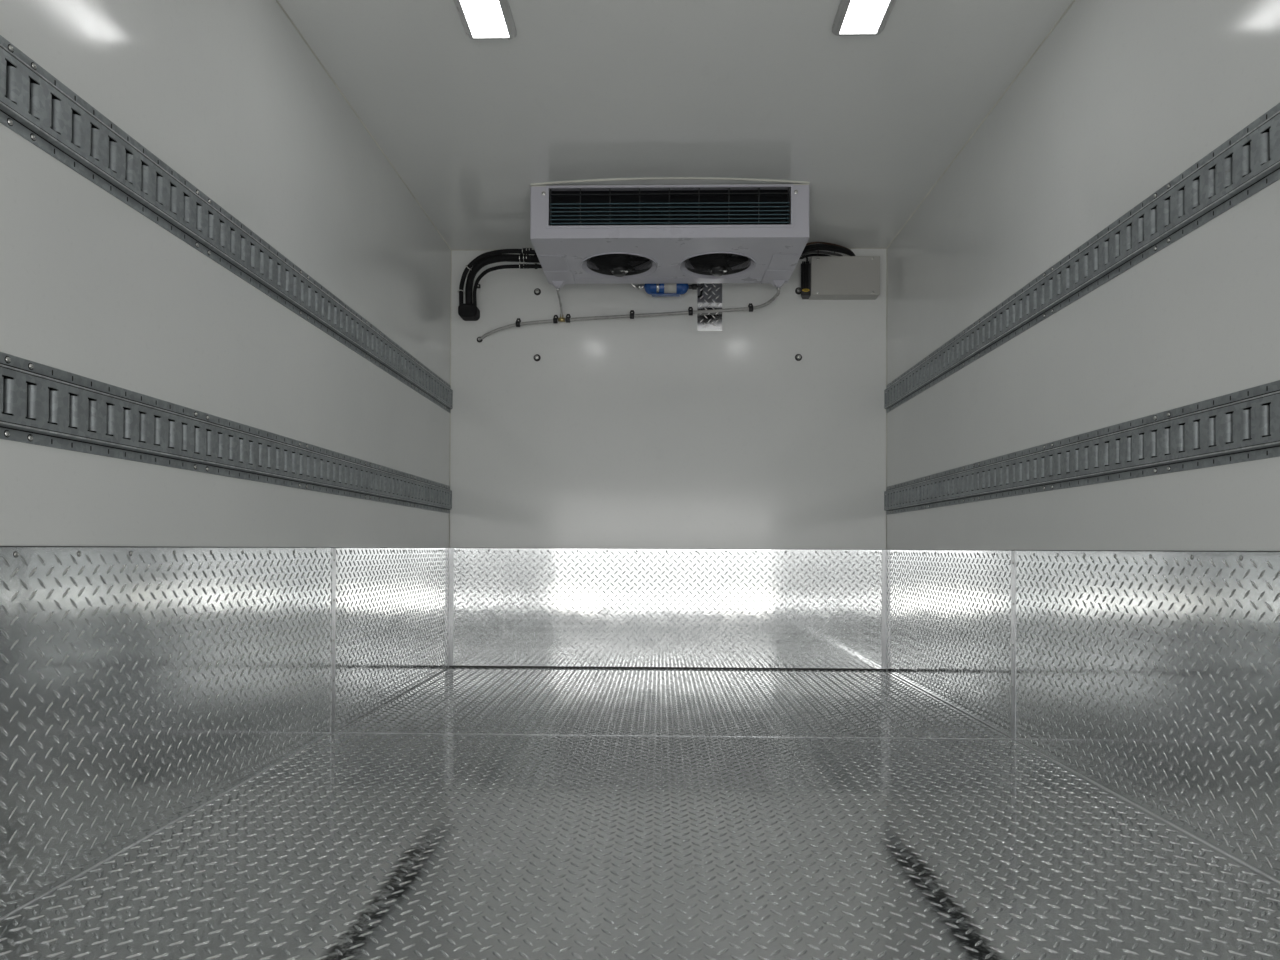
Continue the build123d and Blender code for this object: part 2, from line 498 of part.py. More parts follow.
butts = []
for z in HINGE_Z:
    b = cyl((PIN_X, PIN_Y, z - STRAP_H / 2 - 20), PIN_R, STRAP_H + 40)
    for s in (-1, 1):
        z0 = z + s * (STRAP_H / 2 + 5)
        z1 = z0 + s * 14
        z2 = z0 + s * 46
        ear = bx(PIN_X - 36, PIN_X + 10, REAR - 40, REAR, min(z0, z1), max(z0, z1))
        ear += bx(PIN_X - 12, PIN_X + 12, PIN_Y, REAR - 6, min(z0, z1), max(z0, z1))
        ear += cyl((PIN_X, PIN_Y, min(z0, z1)), 12, 14)
        ear += bx(PIN_X - 76, OUT_X, REAR - 8, REAR, min(z0, z2), max(z0, z2))
        b += ear
    butts.append(b)
save("hinge_butts", [m for b in butts for m in both(b)])

keepers = []
for z0, z1 in ((DZ0 - 60, FL - 2), (HEAD_Z + 2, DZ1 + 60)):
    for s in (-1, 1):
        xa, xb = ROD_X + s * 24, ROD_X + s * 34
        k = bx(min(xa, xb), max(xa, xb), REAR - 38, REAR, z0, z1)
        xa, xb = ROD_X + s * 24, ROD_X + s * 58
        k += bx(min(xa, xb), max(xa, xb), REAR - 5, REAR, z0, z1)
        keepers += both(k)
save("door_keepers", keepers)

# ---------------------------------------------------------------- hold-backs, lamps
HOLD_Y = REAR + 1200.0
hold = bx(OUT_X - SKIN, OUT_X + 6, HOLD_Y - 30, HOLD_Y + 30, 1370, 1450)
hold += bx(OUT_X, OUT_X + 130, HOLD_Y - 5, HOLD_Y + 5, 1395, 1425)
save("door_holdbacks", both(hold))


def lamp(x, z, w, h, d):
    body = extrude(Plane(origin=(x, REAR, z), x_dir=(1, 0, 0), z_dir=(0, -1, 0)) * RectangleRounded(w, h, h / 2 - 0.5), amount=d)
    return fillet(body.faces().sort_by(Axis.Y)[0].edges(), 3)


lamps = []
LAMPS = [                # (x, z, width, height, depth) on the rear face; both hands
    (905.0, 226.0, 160.0, 60.0, 12.0),
    (470.0, 226.0, 160.0, 60.0, 12.0),
    (1060.0, 2500.0, 100.0, 32.0, 12.0),
    (150.0, 2500.0, 100.0, 32.0, 12.0),
]
for row in LAMPS:
    lamps += both(lamp(*row))
lamps.append(lamp(0, 2500.0, 100.0, 32.0, 12.0))
save("rear_lamps", lamps)
SIDE_LAMP_Y = [REAR + 260.0, FW - 150.0]
side = []
for y in SIDE_LAMP_Y:
    s = bx(OUT_X, OUT_X + 7, y - 50, y + 50, 214, 246)
    s = fillet(s.edges().filter_by(Axis.X), 14)
    side += both(s)
save("side_lamps", side)
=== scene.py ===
import math
import random

import bpy
import numpy as np
from mathutils import Matrix, Vector


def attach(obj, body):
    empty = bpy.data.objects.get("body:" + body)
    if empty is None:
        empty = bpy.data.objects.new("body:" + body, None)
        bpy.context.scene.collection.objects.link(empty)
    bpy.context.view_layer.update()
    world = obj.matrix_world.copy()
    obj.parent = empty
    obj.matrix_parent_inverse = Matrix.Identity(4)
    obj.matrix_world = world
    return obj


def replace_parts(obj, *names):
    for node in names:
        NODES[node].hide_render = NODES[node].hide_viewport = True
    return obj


# Insulated body of a refrigerated truck. Metres, +Y forward, +X right, +Z up, standing on z = 0.

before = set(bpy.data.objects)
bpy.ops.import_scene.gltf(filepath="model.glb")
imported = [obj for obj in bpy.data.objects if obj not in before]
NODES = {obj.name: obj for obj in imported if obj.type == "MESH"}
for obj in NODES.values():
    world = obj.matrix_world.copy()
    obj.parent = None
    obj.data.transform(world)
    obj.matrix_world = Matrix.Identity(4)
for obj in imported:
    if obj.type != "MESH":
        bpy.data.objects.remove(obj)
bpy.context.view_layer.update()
random.seed(7)

# ---------------------------------------------------------------- sizes, metres
HALF = 1.1175            # inner half width
FW = 1.926               # inner face of the front wall
REAR = -2.341            # rear plane
NOSE = 2.026
FL = 0.306               # tread floor
CEIL = 2.456
TOP = 2.559
OUT_X = 1.219
KICK_H = 0.612
SHEET_Y = 0.398          # seam of floor and side lining
PANEL_Y0 = -2.2396
BODY = "box_body"


def at(x, y, z):
    """From the front wall (y) and the floor (z), millimetres, to the frame in metres."""
    return Vector((x / 1000.0, FW + y / 1000.0, FL + z / 1000.0))


# ---------------------------------------------------------------- materials
class Graph:
    """A small writer of shader nodes."""

    def __init__(self, name):
        self.mat = bpy.data.materials.new(name)
        self.mat.use_nodes = True
        self.nt = self.mat.node_tree
        self.nt.nodes.clear()
        self.out = self.nt.nodes.new("ShaderNodeOutputMaterial")
        self.bsdf = self.nt.nodes.new("ShaderNodeBsdfPrincipled")
        self.nt.links.new(self.bsdf.outputs[0], self.out.inputs[0])
        tc = self.nt.nodes.new("ShaderNodeTexCoord")
        self.co = tc.outputs["Object"]

    def link(self, a, b):
        self.nt.links.new(a, b)

    def put(self, socket, value):
        if isinstance(value, bpy.types.NodeSocket):
            self.link(value, socket)
        else:
            socket.default_value = value

    def scaled(self, xyz, rot=(0, 0, 0), vec=None):
        n = self.nt.nodes.new("ShaderNodeMapping")
        self.link(vec or self.co, n.inputs["Vector"])
        n.inputs["Scale"].default_value = xyz
        n.inputs["Rotation"].default_value = rot
        return n.outputs[0]

    def noise(self, scale, detail=2.0, rough=0.5, vec=None, distortion=0.0):
        n = self.nt.nodes.new("ShaderNodeTexNoise")
        self.link(vec or self.co, n.inputs["Vector"])
        n.inputs["Scale"].default_value = scale
        n.inputs["Detail"].default_value = detail
        n.inputs["Roughness"].default_value = rough
        n.inputs["Distortion"].default_value = distortion
        return n.outputs["Fac"]

    def voronoi(self, scale, feature="F1", out="Distance", vec=None, randomness=1.0):
        n = self.nt.nodes.new("ShaderNodeTexVoronoi")
        n.feature = feature
        self.link(vec or self.co, n.inputs["Vector"])
        n.inputs["Scale"].default_value = scale
        n.inputs["Randomness"].default_value = randomness
        return n.outputs[out]

    def ramp(self, fac, *stops):
        """stops: (position, value) with a value or a colour."""
        n = self.nt.nodes.new("ShaderNodeValToRGB")
        self.link(fac, n.inputs[0])
        els = n.color_ramp.elements
        while len(els) < len(stops):
            els.new(0.5)
        for e, (p, c) in zip(els, stops):
            e.position = p
            e.color = (c, c, c, 1) if isinstance(c, (int, float)) else (*c, 1)
        return n.outputs[0]

    def remap(self, fac, a, b, lo, hi):
        n = self.nt.nodes.new("ShaderNodeMapRange")
        self.link(fac, n.inputs["Value"])
        for k, v in (("From Min", a), ("From Max", b), ("To Min", lo), ("To Max", hi)):
            n.inputs[k].default_value = v
        return n.outputs[0]

    def math(self, op, a, b=0.0, clamp=False):
        n = self.nt.nodes.new("ShaderNodeMath")
        n.operation = op
        n.use_clamp = clamp
        self.put(n.inputs[0], a)
        self.put(n.inputs[1], b)
        return n.outputs[0]

    def mix(self, fac, a, b, mode="MIX"):
        n = self.nt.nodes.new("ShaderNodeMix")
        n.data_type = "RGBA"
        n.blend_type = mode
        self.put(n.inputs[0], fac)
        for s, v in ((n.inputs[6], a), (n.inputs[7], b)):
            if isinstance(v, tuple):
                s.default_value = (*v, 1) if len(v) == 3 else v
            else:
                self.link(v, s)
        return n.outputs[2]

    def xyz(self, vec=None):
        n = self.nt.nodes.new("ShaderNodeSeparateXYZ")
        self.link(vec or self.co, n.inputs[0])
        return n.outputs

    def bump(self, height, strength, distance, before=None):
        n = self.nt.nodes.new("ShaderNodeBump")
        n.inputs["Strength"].default_value = strength
        n.inputs["Distance"].default_value = distance
        self.link(height, n.inputs["Height"])
        if before is not None:
            self.link(before, n.inputs["Normal"])
        return n.outputs[0]

    def done(self, color=None, rough=None, normal=None, **fixed):
        if color is not None:
            if isinstance(color, tuple):
                self.bsdf.inputs["Base Color"].default_value = (*color, 1)
            else:
                self.link(color, self.bsdf.inputs["Base Color"])
        if rough is not None:
            self.put(self.bsdf.inputs["Roughness"], rough)
        if normal is not None:
            self.link(normal, self.bsdf.inputs["Normal"])
        for k, v in fixed.items():
            self.bsdf.inputs[k.replace("_", " ")].default_value = v
        return self.mat


def paint(name, color, rough=0.3, peel=0.05, peel_scale=120.0, vary=0.04, dirt=(0.35, 0.33, 0.30), dirt_amount=0.12, metallic=0.0, **fixed):
    """Painted or gel-coated surface: orange peel, slight unevenness of tone and gloss, thin dirt in patches."""
    g = Graph(name)
    broad = g.noise(2.2, 4, 0.55)
    fine = g.noise(60, 3, 0.6)
    tone = g.ramp(broad, (0.3, tuple(c * (1 - vary) for c in color)), (0.7, tuple(min(1, c * (1 + vary * 0.5)) for c in color)))
    mask = g.math("MULTIPLY", g.remap(fine, 0.52, 0.78, 0.0, 1.0), g.remap(g.noise(5.5, 5, 0.6), 0.5, 0.75, 0.0, dirt_amount))
    col = g.mix(mask, tone, dirt)
    r = g.remap(g.noise(9, 4, 0.6), 0.3, 0.7, rough * 0.85, rough * 1.25)
    n = g.bump(g.noise(peel_scale, 2, 0.5), peel, 0.002)
    return g.done(col, r, n, Metallic=metallic, **fixed)


def metal(name, color, rough=0.3, streak=(1, 1, 1), streak_scale=40.0, streak_amount=0.08, vary=0.08, bump=0.04, smudge=0.06, dark=None, dark_amount=0.0):
    """Bare metal: brushed or rolled grain along one direction, smudges, optional dark grime."""
    g = Graph(name)
    grain = g.noise(streak_scale, 4, 0.65, g.scaled(streak))
    broad = g.noise(3.5, 4, 0.6)
    col = g.ramp(broad, (0.3, tuple(c * (1 - vary) for c in color)), (0.7, tuple(min(1, c * (1 + vary * 0.4)) for c in color)))
    col = g.mix(g.remap(grain, 0.35, 0.65, 0.0, streak_amount), col, tuple(c * 0.55 for c in color))
    if dark is not None:
        mask = g.math("MULTIPLY", g.remap(g.noise(14, 5, 0.7), 0.55, 0.75, 0, 1), dark_amount)
        col = g.mix(mask, col, dark)
    r = g.math("ADD", g.remap(grain, 0.3, 0.7, rough - 0.04, rough + 0.05), g.remap(g.noise(7, 5, 0.65), 0.4, 0.75, 0.0, smudge))
    n = g.bump(grain, bump, 0.001)
    return g.done(col, r, n, Metallic=1.0)


def frp():
    """White gel-coated wall and ceiling panels."""
    g = Graph("frp_white")
    broad = g.noise(1.4, 4, 0.55)
    fine = g.noise(75, 3, 0.6)
    tone = g.ramp(broad, (0.3, (0.755, 0.770, 0.755)), (0.7, (0.800, 0.812, 0.795)))
    speck = g.remap(fine, 0.60, 0.72, 0.0, 0.10)
    col = g.mix(speck, tone, (0.55, 0.56, 0.54))
    scuff = g.noise(6, 6, 0.7, g.scaled((1, 0.35, 1)))
    col = g.mix(g.remap(scuff, 0.62, 0.80, 0.0, 0.10), col, (0.42, 0.42, 0.40))
    r = g.remap(g.noise(11, 4, 0.6), 0.3, 0.7, 0.10, 0.16)
    # cloth print-through: fine bump streaked up and down, over a slower ripple
    cloth = g.noise(170, 2, 0.5, g.scaled((1, 1, 0.35)))
    n = g.bump(cloth, 0.08, 0.0010)
    n = g.bump(g.noise(14, 2, 0.5), 0.06, 0.004, n)
    return g.done(col, r, n, Specular_IOR_Level=0.6)


def tread(name, lug=False):
    """Bright aluminium tread plate, rolled almost to a mirror."""
    g = Graph(name)
    broad = g.noise(2.5, 5, 0.6)
    roll = g.noise(26, 4, 0.7, g.scaled((1.0, 0.12, 1.0)))
    base = g.ramp(broad, (0.25, (0.70, 0.715, 0.715)), (0.75, (0.79, 0.80, 0.80)))
    col = g.mix(g.remap(roll, 0.45, 0.75, 0.0, 0.20), base, (0.50, 0.515, 0.52))
    # grey rubbing marks and fine dark specks where it is walked on
    marks = g.math("MULTIPLY", g.remap(g.noise(16, 6, 0.72), 0.58, 0.74, 0, 1), g.remap(g.noise(1.7, 3, 0.5), 0.48, 0.62, 0, 0.35))
    col = g.mix(marks, col, (0.26, 0.26, 0.26))
    speck = g.remap(g.voronoi(46), 0.0, 0.11, 0.55, 0.0)
    col = g.mix(g.math("MULTIPLY", speck, g.remap(g.noise(9, 3, 0.5), 0.55, 0.65, 0, 1)), col, (0.10, 0.10, 0.10))
    # two runs of painted dark reflection along the plate, broken up by noise and fainter on the lugs
    c = g.xyz()
    painted_reflection_breakup = g.remap(g.noise(34, 6, 0.75), 0.40, 0.54, 0.0, 0.25 if lug else 0.95)
    for x0 in (-0.513, 0.457):
        off = g.math("ABSOLUTE", g.math("SUBTRACT", g.math("ADD", c[0], g.remap(g.noise(5, 2, 0.5), 0.3, 0.7, -0.008, 0.008)), x0))
        run = g.math("MULTIPLY", g.remap(off, 0.018, 0.036, 1.0, 0.0), g.remap(c[1], -0.50, -0.66, 0.0, 1.0))
        col = g.mix(g.math("MULTIPLY", run, painted_reflection_breakup), col, (0.045, 0.048, 0.046))
    r0, r1 = (0.065, 0.115) if not lug else (0.10, 0.15)
    r = g.math("ADD", g.remap(g.noise(8, 5, 0.65), 0.35, 0.7, r0, r1), g.remap(marks, 0.0, 0.35, 0.0, 0.08))
    # dulled between those runs, where loads are walked in
    across = g.math("ABSOLUTE", g.math("ADD", c[0], 0.028))
    trodden = g.math("MULTIPLY", g.remap(across, 0.40, 0.50, 1.0, 0.0), g.remap(c[1], -0.22, -0.34, 0.0, 1.0))
    r = g.math("ADD", r, g.math("MULTIPLY", trodden, 0.13))
    n = g.bump(g.noise(11, 3, 0.5), 0.10, 0.004)
    n = g.bump(g.noise(190, 2, 0.5), 0.04, 0.0005, n)
    return g.done(col, r, n, Metallic=1.0)


def galvanised(name, color=(0.36, 0.388, 0.398), rough=0.50):
    """Zinc-coated steel: spangle, dull patches, a few dark stains."""
    g = Graph(name)
    cells = g.voronoi(95, out="Color")
    sp = g.xyz(cells)[0]
    base = g.ramp(sp, (0.0, tuple(c * 0.84 for c in color)), (1.0, tuple(c * 1.12 for c in color)))
    dull = g.remap(g.noise(12, 5, 0.65), 0.45, 0.75, 0.0, 0.45)
    col = g.mix(dull, base, tuple(c * 0.62 for c in color))
    stain = g.remap(g.noise(31, 5, 0.7), 0.64, 0.76, 0.0, 0.5)
    col = g.mix(stain, col, (0.16, 0.15, 0.13))
    r = g.math("ADD", g.remap(sp, 0, 1, rough - 0.06, rough + 0.06), g.remap(dull, 0, 0.45, 0.0, 0.12))
    n = g.bump(g.noise(130, 3, 0.5), 0.08, 0.0008)
    return g.done(col, r, n, Metallic=0.60)


def plastic(name, color, rough=0.45, grain=0.12, grain_scale=420.0, dust=0.10, **fixed):
    """Moulded plastic or rubber with a fine grain and a film of dust."""
    g = Graph(name)
    film = g.remap(g.noise(20, 5, 0.65), 0.45, 0.75, 0.0, dust)
    tone = g.ramp(g.noise(4, 3, 0.5), (0.3, tuple(c * 0.85 for c in color)), (0.7, tuple(min(1, c * 1.15) for c in color)))
    col = g.mix(film, tone, (0.32, 0.32, 0.31))
    r = g.math("ADD", g.remap(g.noise(35, 4, 0.6), 0.3, 0.7, rough - 0.05, rough + 0.08), film)
    n = g.bump(g.noise(grain_scale, 2, 0.5), grain, 0.0006)
    return g.done(col, r, n, **fixed)


def fins(name, pitch=0.0021, axis=0, color=(0.30, 0.31, 0.32)):
    """Face of a finned coil: thin plates side by side, with painted shade in the gaps between them."""
    g = Graph(name)
    c = g.xyz()[axis]
    w = g.math("FRACT", g.math("MULTIPLY", c, 1.0 / pitch))
    line = g.remap(g.math("ABSOLUTE", g.math("SUBTRACT", w, 0.5)), 0.10, 0.42, 0.0, 1.0)
    bent = g.remap(g.noise(30, 4, 0.7), 0.55, 0.75, 0.0, 0.5)
    # painted shade: the gaps between the plates go dark
    col = g.mix(line, tuple(k * 0.18 for k in color), color)
    col = g.mix(bent, col, tuple(k * 0.6 for k in color))
    n = g.bump(line, 0.5, 0.0015)
    return g.done(col, g.remap(bent, 0, 0.5, 0.4, 0.6), n, Metallic=0.8)


def glowing(name, color, strength):
    """Diffuser of a ceiling lamp, lit, with faint prisms and lamps that show through."""
    g = Graph(name)
    prism = g.voronoi(240, randomness=0.25)
    lamps = g.remap(g.noise(24, 2, 0.5), 0.35, 0.65, 0.88, 1.0)
    col = g.mix(g.remap(prism, 0.0, 0.5, 0.0, 0.10), color, tuple(c * 0.8 for c in color))
    g.link(col, g.bsdf.inputs["Emission Color"])
    g.link(g.math("MULTIPLY", lamps, strength), g.bsdf.inputs["Emission Strength"])
    n = g.bump(prism, 0.2, 0.001)
    return g.done(col, g.remap(prism, 0, 0.6, 0.2, 0.35), n)


def lens(name, color, clear=(0.02, 0.02, 0.02)):
    """Coloured lamp lens with moulded ribs over a bright bowl."""
    g = Graph(name)
    c = g.xyz()
    rib = g.math("ABSOLUTE", g.math("SUBTRACT", g.math("FRACT", g.math("MULTIPLY", c[0], 160.0)), 0.5))
    ribz = g.math("ABSOLUTE", g.math("SUBTRACT", g.math("FRACT", g.math("MULTIPLY", c[2], 160.0)), 0.5))
    ribs = g.math("ADD", rib, ribz)
    col = g.mix(g.remap(ribs, 0.2, 0.9, 0.0, 0.6), color, tuple(k * 0.35 for k in color))
    n = g.bump(ribs, 0.35, 0.0012)
    r = g.remap(g.noise(50, 3, 0.5), 0.3, 0.7, 0.10, 0.18)
    return g.done(col, r, n, Coat_Weight=0.6, Coat_Roughness=0.06)


M = {
    "frp_white": frp(),
    "painted_white": paint("painted_white", (0.80, 0.805, 0.80), rough=0.24, peel=0.05),
    "evaporator_white": paint("evaporator_white", (0.580, 0.575, 0.635), rough=0.30, peel=0.07, peel_scale=200, vary=0.03, dirt_amount=0.02),
    "tread_aluminium": tread("tread_aluminium"),
    "tread_lugs": tread("tread_lugs", lug=True),
    # lighter copy of the galvanised steel, used as a painted highlight on the tracks' beads
    "track_painted_highlight": galvanised("track_painted_highlight", (0.66, 0.68, 0.69), 0.36),
    "mill_aluminium": metal("mill_aluminium", (0.66, 0.67, 0.68), 0.30, (1, 0.06, 1), 70, 0.16, smudge=0.10),
    "mill_aluminium_up": metal("mill_aluminium_up", (0.66, 0.67, 0.68), 0.30, (1, 1, 0.05), 70, 0.16, smudge=0.10),
    "galvanised_steel": galvanised("galvanised_steel"),
    "bright_steel": metal("bright_steel", (0.68, 0.69, 0.70), 0.24, (1, 1, 0.15), 90, 0.15, smudge=0.10),
    "zinc_screw": metal("zinc_screw", (0.62, 0.62, 0.60), 0.26, (1, 1, 1), 300, 0.2, smudge=0.05),
    "frame_steel": paint("frame_steel", (0.028, 0.028, 0.030), rough=0.42, peel=0.12, peel_scale=260, vary=0.2, dirt=(0.16, 0.14, 0.12), dirt_amount=0.5),
    "black_plastic": plastic("black_plastic", (0.014, 0.0145, 0.016), 0.42),
    "guard_black": plastic("guard_black", (0.007, 0.007, 0.008), 0.5, dust=0.0, Specular_IOR_Level=0.3),
    "fan_black": plastic("fan_black", (0.006, 0.006, 0.007), 0.75, dust=0.01, Specular_IOR_Level=0.12),
    # lighter copy of the tread metal for the cover strip's lugs: painted highlight, with a rougher finish
    "strip_lugs": metal("strip_lugs", (0.86, 0.85, 0.85), 0.34, (1, 1, 1), 60, 0.2),
    # the condenser bolts' washers in near black: painted shade round each bolt
    "washer_painted_shade": plastic("washer_painted_shade", (0.020, 0.020, 0.020), 0.4, dust=0.05),
    "slat_teal": paint("slat_teal", (0.045, 0.095, 0.115), rough=0.18, peel=0.03, dirt_amount=0.05),
    "slat_black": plastic("slat_black", (0.010, 0.012, 0.014), 0.40, dust=0.0),
    "black_rubber": plastic("black_rubber", (0.020, 0.020, 0.020), 0.62, grain=0.25, dust=0.2),
    "hose_foam": plastic("hose_foam", (0.009, 0.009, 0.010), 0.62, grain=0.3, grain_scale=260, dust=0.025, Specular_IOR_Level=0.22),
    "coil_fins": fins("coil_fins"),
    "coil_dark": fins("coil_dark", color=(0.030, 0.032, 0.036)),
    "clear_tube": plastic("clear_tube", (0.40, 0.40, 0.385), 0.22, grain=0.03, dust=0.2),
    "box_grey": paint("box_grey", (0.47, 0.465, 0.44), rough=0.34, peel=0.10, peel_scale=220),
    "drier_blue": paint("drier_blue", (0.022, 0.10, 0.34), rough=0.22, peel=0.04, vary=0.12),
    "silver_band": metal("silver_band", (0.74, 0.74, 0.72), 0.22, (0.1, 1, 1), 200, 0.2),
    "brass": metal("brass", (0.52, 0.42, 0.20), 0.28, (1, 1, 1), 200, 0.3, dark=(0.10, 0.16, 0.08), dark_amount=0.5),
    "copper": metal("copper", (0.17, 0.105, 0.080), 0.38, (1, 1, 1), 120, 0.3, dark=(0.05, 0.04, 0.035), dark_amount=0.5),
    "lamp_red": lens("lamp_red", (0.38, 0.008, 0.008)),
    "lamp_amber": lens("lamp_amber", (0.75, 0.22, 0.010)),
    "light_lens": glowing("light_lens", (1.0, 1.0, 1.0), 8.6),
    "light_frame": plastic("light_frame", (0.50, 0.505, 0.50), 0.30, grain=0.05, dust=0.05),
    "sealant_and_shade_grey": plastic("sealant_and_shade_grey", (0.085, 0.085, 0.085), 0.45, grain=0.2, grain_scale=120),
    "sealant_white": plastic("sealant_white", (0.62, 0.62, 0.56), 0.35, grain=0.2, grain_scale=120, dust=0.1),
    # near black, for holes and dark joints, and as painted shade in the tracks' grooves and behind their slots
    "hole_and_shade_black": plastic("hole_and_shade_black", (0.006, 0.006, 0.006), 0.7, dust=0.0),
    "yellow_plastic": plastic("yellow_plastic", (0.62, 0.42, 0.03), 0.35),
    "blue_plastic": plastic("blue_plastic", (0.015, 0.05, 0.33), 0.3),
    "tie_white": plastic("tie_white", (0.55, 0.55, 0.52), 0.35, dust=0.1),
}

NODE_MATERIAL = {
    "frp_white": ["left_wall", "right_wall", "front_wall", "roof_panel", "left_door_panel", "right_door_panel"],
    "tread_aluminium": ["floor_plates", "side_kick_plates", "front_kick_plate", "cover_strip"],
    "mill_aluminium": ["roof_rails", "bottom_rails", "floor_panel"],
    "mill_aluminium_up": ["front_corner_posts"],
    "galvanised_steel": ["cargo_tracks_left", "cargo_tracks_right", "crossmembers"],
    "frame_steel": ["long_sills", "mount_brackets"],
    "bright_steel": ["rear_posts", "rear_header", "rear_sill", "left_door_straps", "right_door_straps", "left_door_lock_rod", "right_door_lock_rod",
                     "hinge_butts", "door_keepers", "door_holdbacks"],
    "washer_painted_shade": ["condenser_bolts"],
    "evaporator_white": ["evaporator_housing", "condenser_housing"],
    "fan_black": ["evaporator_fan_left", "evaporator_fan_right"],
    "black_plastic": ["condenser_fan_left", "condenser_fan_right", "control_side_block", "drain_clips"],
    "slat_black": ["evaporator_grille"],
    "hose_foam": ["refrigerant_hoses", "hose_boot", "control_cable"],
    "black_rubber": ["dock_bumpers", "left_door_gasket", "right_door_gasket"],
    "coil_fins": ["condenser_coil"],
    "coil_dark": ["evaporator_coil"],
    "clear_tube": ["drain_tube"],
    "box_grey": ["control_box"],
    "drier_blue": ["filter_drier"],
    "lamp_red": ["rear_lamps"],
    "lamp_amber": ["side_lamps"],
    "light_lens": ["ceiling_light_lenses"],
    "light_frame": ["ceiling_light_frames"],
}
for key, names in NODE_MATERIAL.items():
    for n in names:
        if n in NODES:
            NODES[n].data.materials.clear()
            NODES[n].data.materials.append(M[key])


# ---------------------------------------------------------------- mesh pieces
class Kit:
    """Collects small shapes into one mesh piece."""

    def __init__(self, name, mats, body=BODY, slot=None):
        self.name, self.mats, self.body, self.slot = name, mats, body, slot
        self.v, self.f, self.m, self.s, self.n = [], [], [], [], 0
        self.place, self.mirrored = None, False

    def add(self, verts, faces, mat=0, smooth=True):
        base = self.n
        self.v.extend(tuple(p) for p in verts)
        self.n += len(verts)
        for f in faces:
            self.f.append([i + base for i in f])
            self.m.append(mat)
            self.s.append(smooth)

    def box(self, lo, hi, mat=0, bevel=0.0):
        """Box with its long edges broken by a chamfer."""
        lo, hi = Vector(lo), Vector(hi)
        b = min(bevel, 0.45 * min(hi - lo))
        if b <= 0:
            c = [(x, y, z) for x in (lo.x, hi.x) for y in (lo.y, hi.y) for z in (lo.z, hi.z)]
            self.add(c, [(0, 1, 3, 2), (4, 6, 7, 5), (0, 4, 5, 1), (2, 3, 7, 6), (0, 2, 6, 4), (1, 5, 7, 3)], mat, False)
            return
        pts, idx = [], {}
        for sx in (0, 1):
            for sy in (0, 1):
                for sz in (0, 1):
                    s = (sx, sy, sz)
                    for ax in range(3):
                        p = []
                        for k in range(3):
                            e = hi[k] if s[k] else lo[k]
                            p.append(e if k == ax else e + (-b if s[k] else b))
                        idx[(s, ax)] = len(pts)
                        pts.append(p)
        faces = []
        for ax in range(3):                      # flat faces
            u, w = (ax + 1) % 3, (ax + 2) % 3
            for side in (0, 1):
                ring = []
                for a, c in ((0, 0), (1, 0), (1, 1), (0, 1)):
                    s = [0, 0, 0]
                    s[ax], s[u], s[w] = side, a, c
                    ring.append(idx[(tuple(s), ax)])
                faces.append(ring if side else ring[::-1])
        for ax in range(3):                      # edge chamfers, along ax
            u, w = (ax + 1) % 3, (ax + 2) % 3
            for a in (0, 1):
                for c in (0, 1):
                    s0, s1 = [0, 0, 0], [0, 0, 0]
                    s0[u] = s1[u] = a
                    s0[w] = s1[w] = c
                    s0[ax], s1[ax] = 0, 1
                    s0, s1 = tuple(s0), tuple(s1)
                    ring = [idx[(s0, u)], idx[(s1, u)], idx[(s1, w)], idx[(s0, w)]]
                    faces.append(ring if (a == c) != True else ring[::-1])
        for sx in (0, 1):
            for sy in (0, 1):
                for sz in (0, 1):
                    s = (sx, sy, sz)
                    ring = [idx[(s, 0)], idx[(s, 1)], idx[(s, 2)]]
                    faces.append(ring if (sx + sy + sz) % 2 else ring[::-1])
        self.add(pts, faces, mat, False)

    @staticmethod
    def basis(axis):
        z = Vector(axis).normalized()
        x = z.orthogonal().normalized()
        return x, z.cross(x), z

    def lathe(self, p, axis, profile, n=16, mat=0, smooth=True):
        """profile: (radius, height) rings from the first to the last; a radius of 0 closes an end."""
        x, y, z = self.basis(axis)
        p = Vector(p)
        verts, faces, rings = [], [], []
        for r, h in profile:
            if r <= 1e-9:
                rings.append([len(verts)])
                verts.append(p + z * h)
            else:
                rings.append(list(range(len(verts), len(verts) + n)))
                for k in range(n):
                    a = 2 * math.pi * k / n
                    verts.append(p + z * h + x * (r * math.cos(a)) + y * (r * math.sin(a)))
        for a, b in zip(rings, rings[1:]):
            for k in range(n):
                k2 = (k + 1) % n
                if len(a) == 1 and len(b) == 1:
                    continue
                if len(a) == 1:
                    faces.append((a[0], b[k2], b[k])[::-1])
                elif len(b) == 1:
                    faces.append((a[k], a[k2], b[0]))
                else:
                    faces.append((a[k], a[k2], b[k2], b[k]))
        self.add(verts, faces, mat, smooth)

    def disc(self, p, axis, r, h, n=16, mat=0, bevel=0.0):
        b = min(bevel, h * 0.6, r * 0.6)
        self.lathe(p, axis, [(r, 0), (r, h - b), (r - b, h), (0, h)], n, mat, smooth=False if bevel == 0 else True)

    def dome(self, p, axis, r, h, n=10, mat=0):
        self.lathe(p, axis, [(r, 0), (r * 0.92, h * 0.45), (r * 0.62, h * 0.85), (0, h)], n, mat)

    def hexhead(self, p, axis, r, h, mat=0, washer=0.0):
        if washer:
            self.disc(p, axis, washer, 0.0018, 18, mat, 0.0005)
        self.lathe(p, axis, [(r, 0), (r, h * 0.8), (r * 0.86, h), (0, h)], 6, mat, smooth=False)

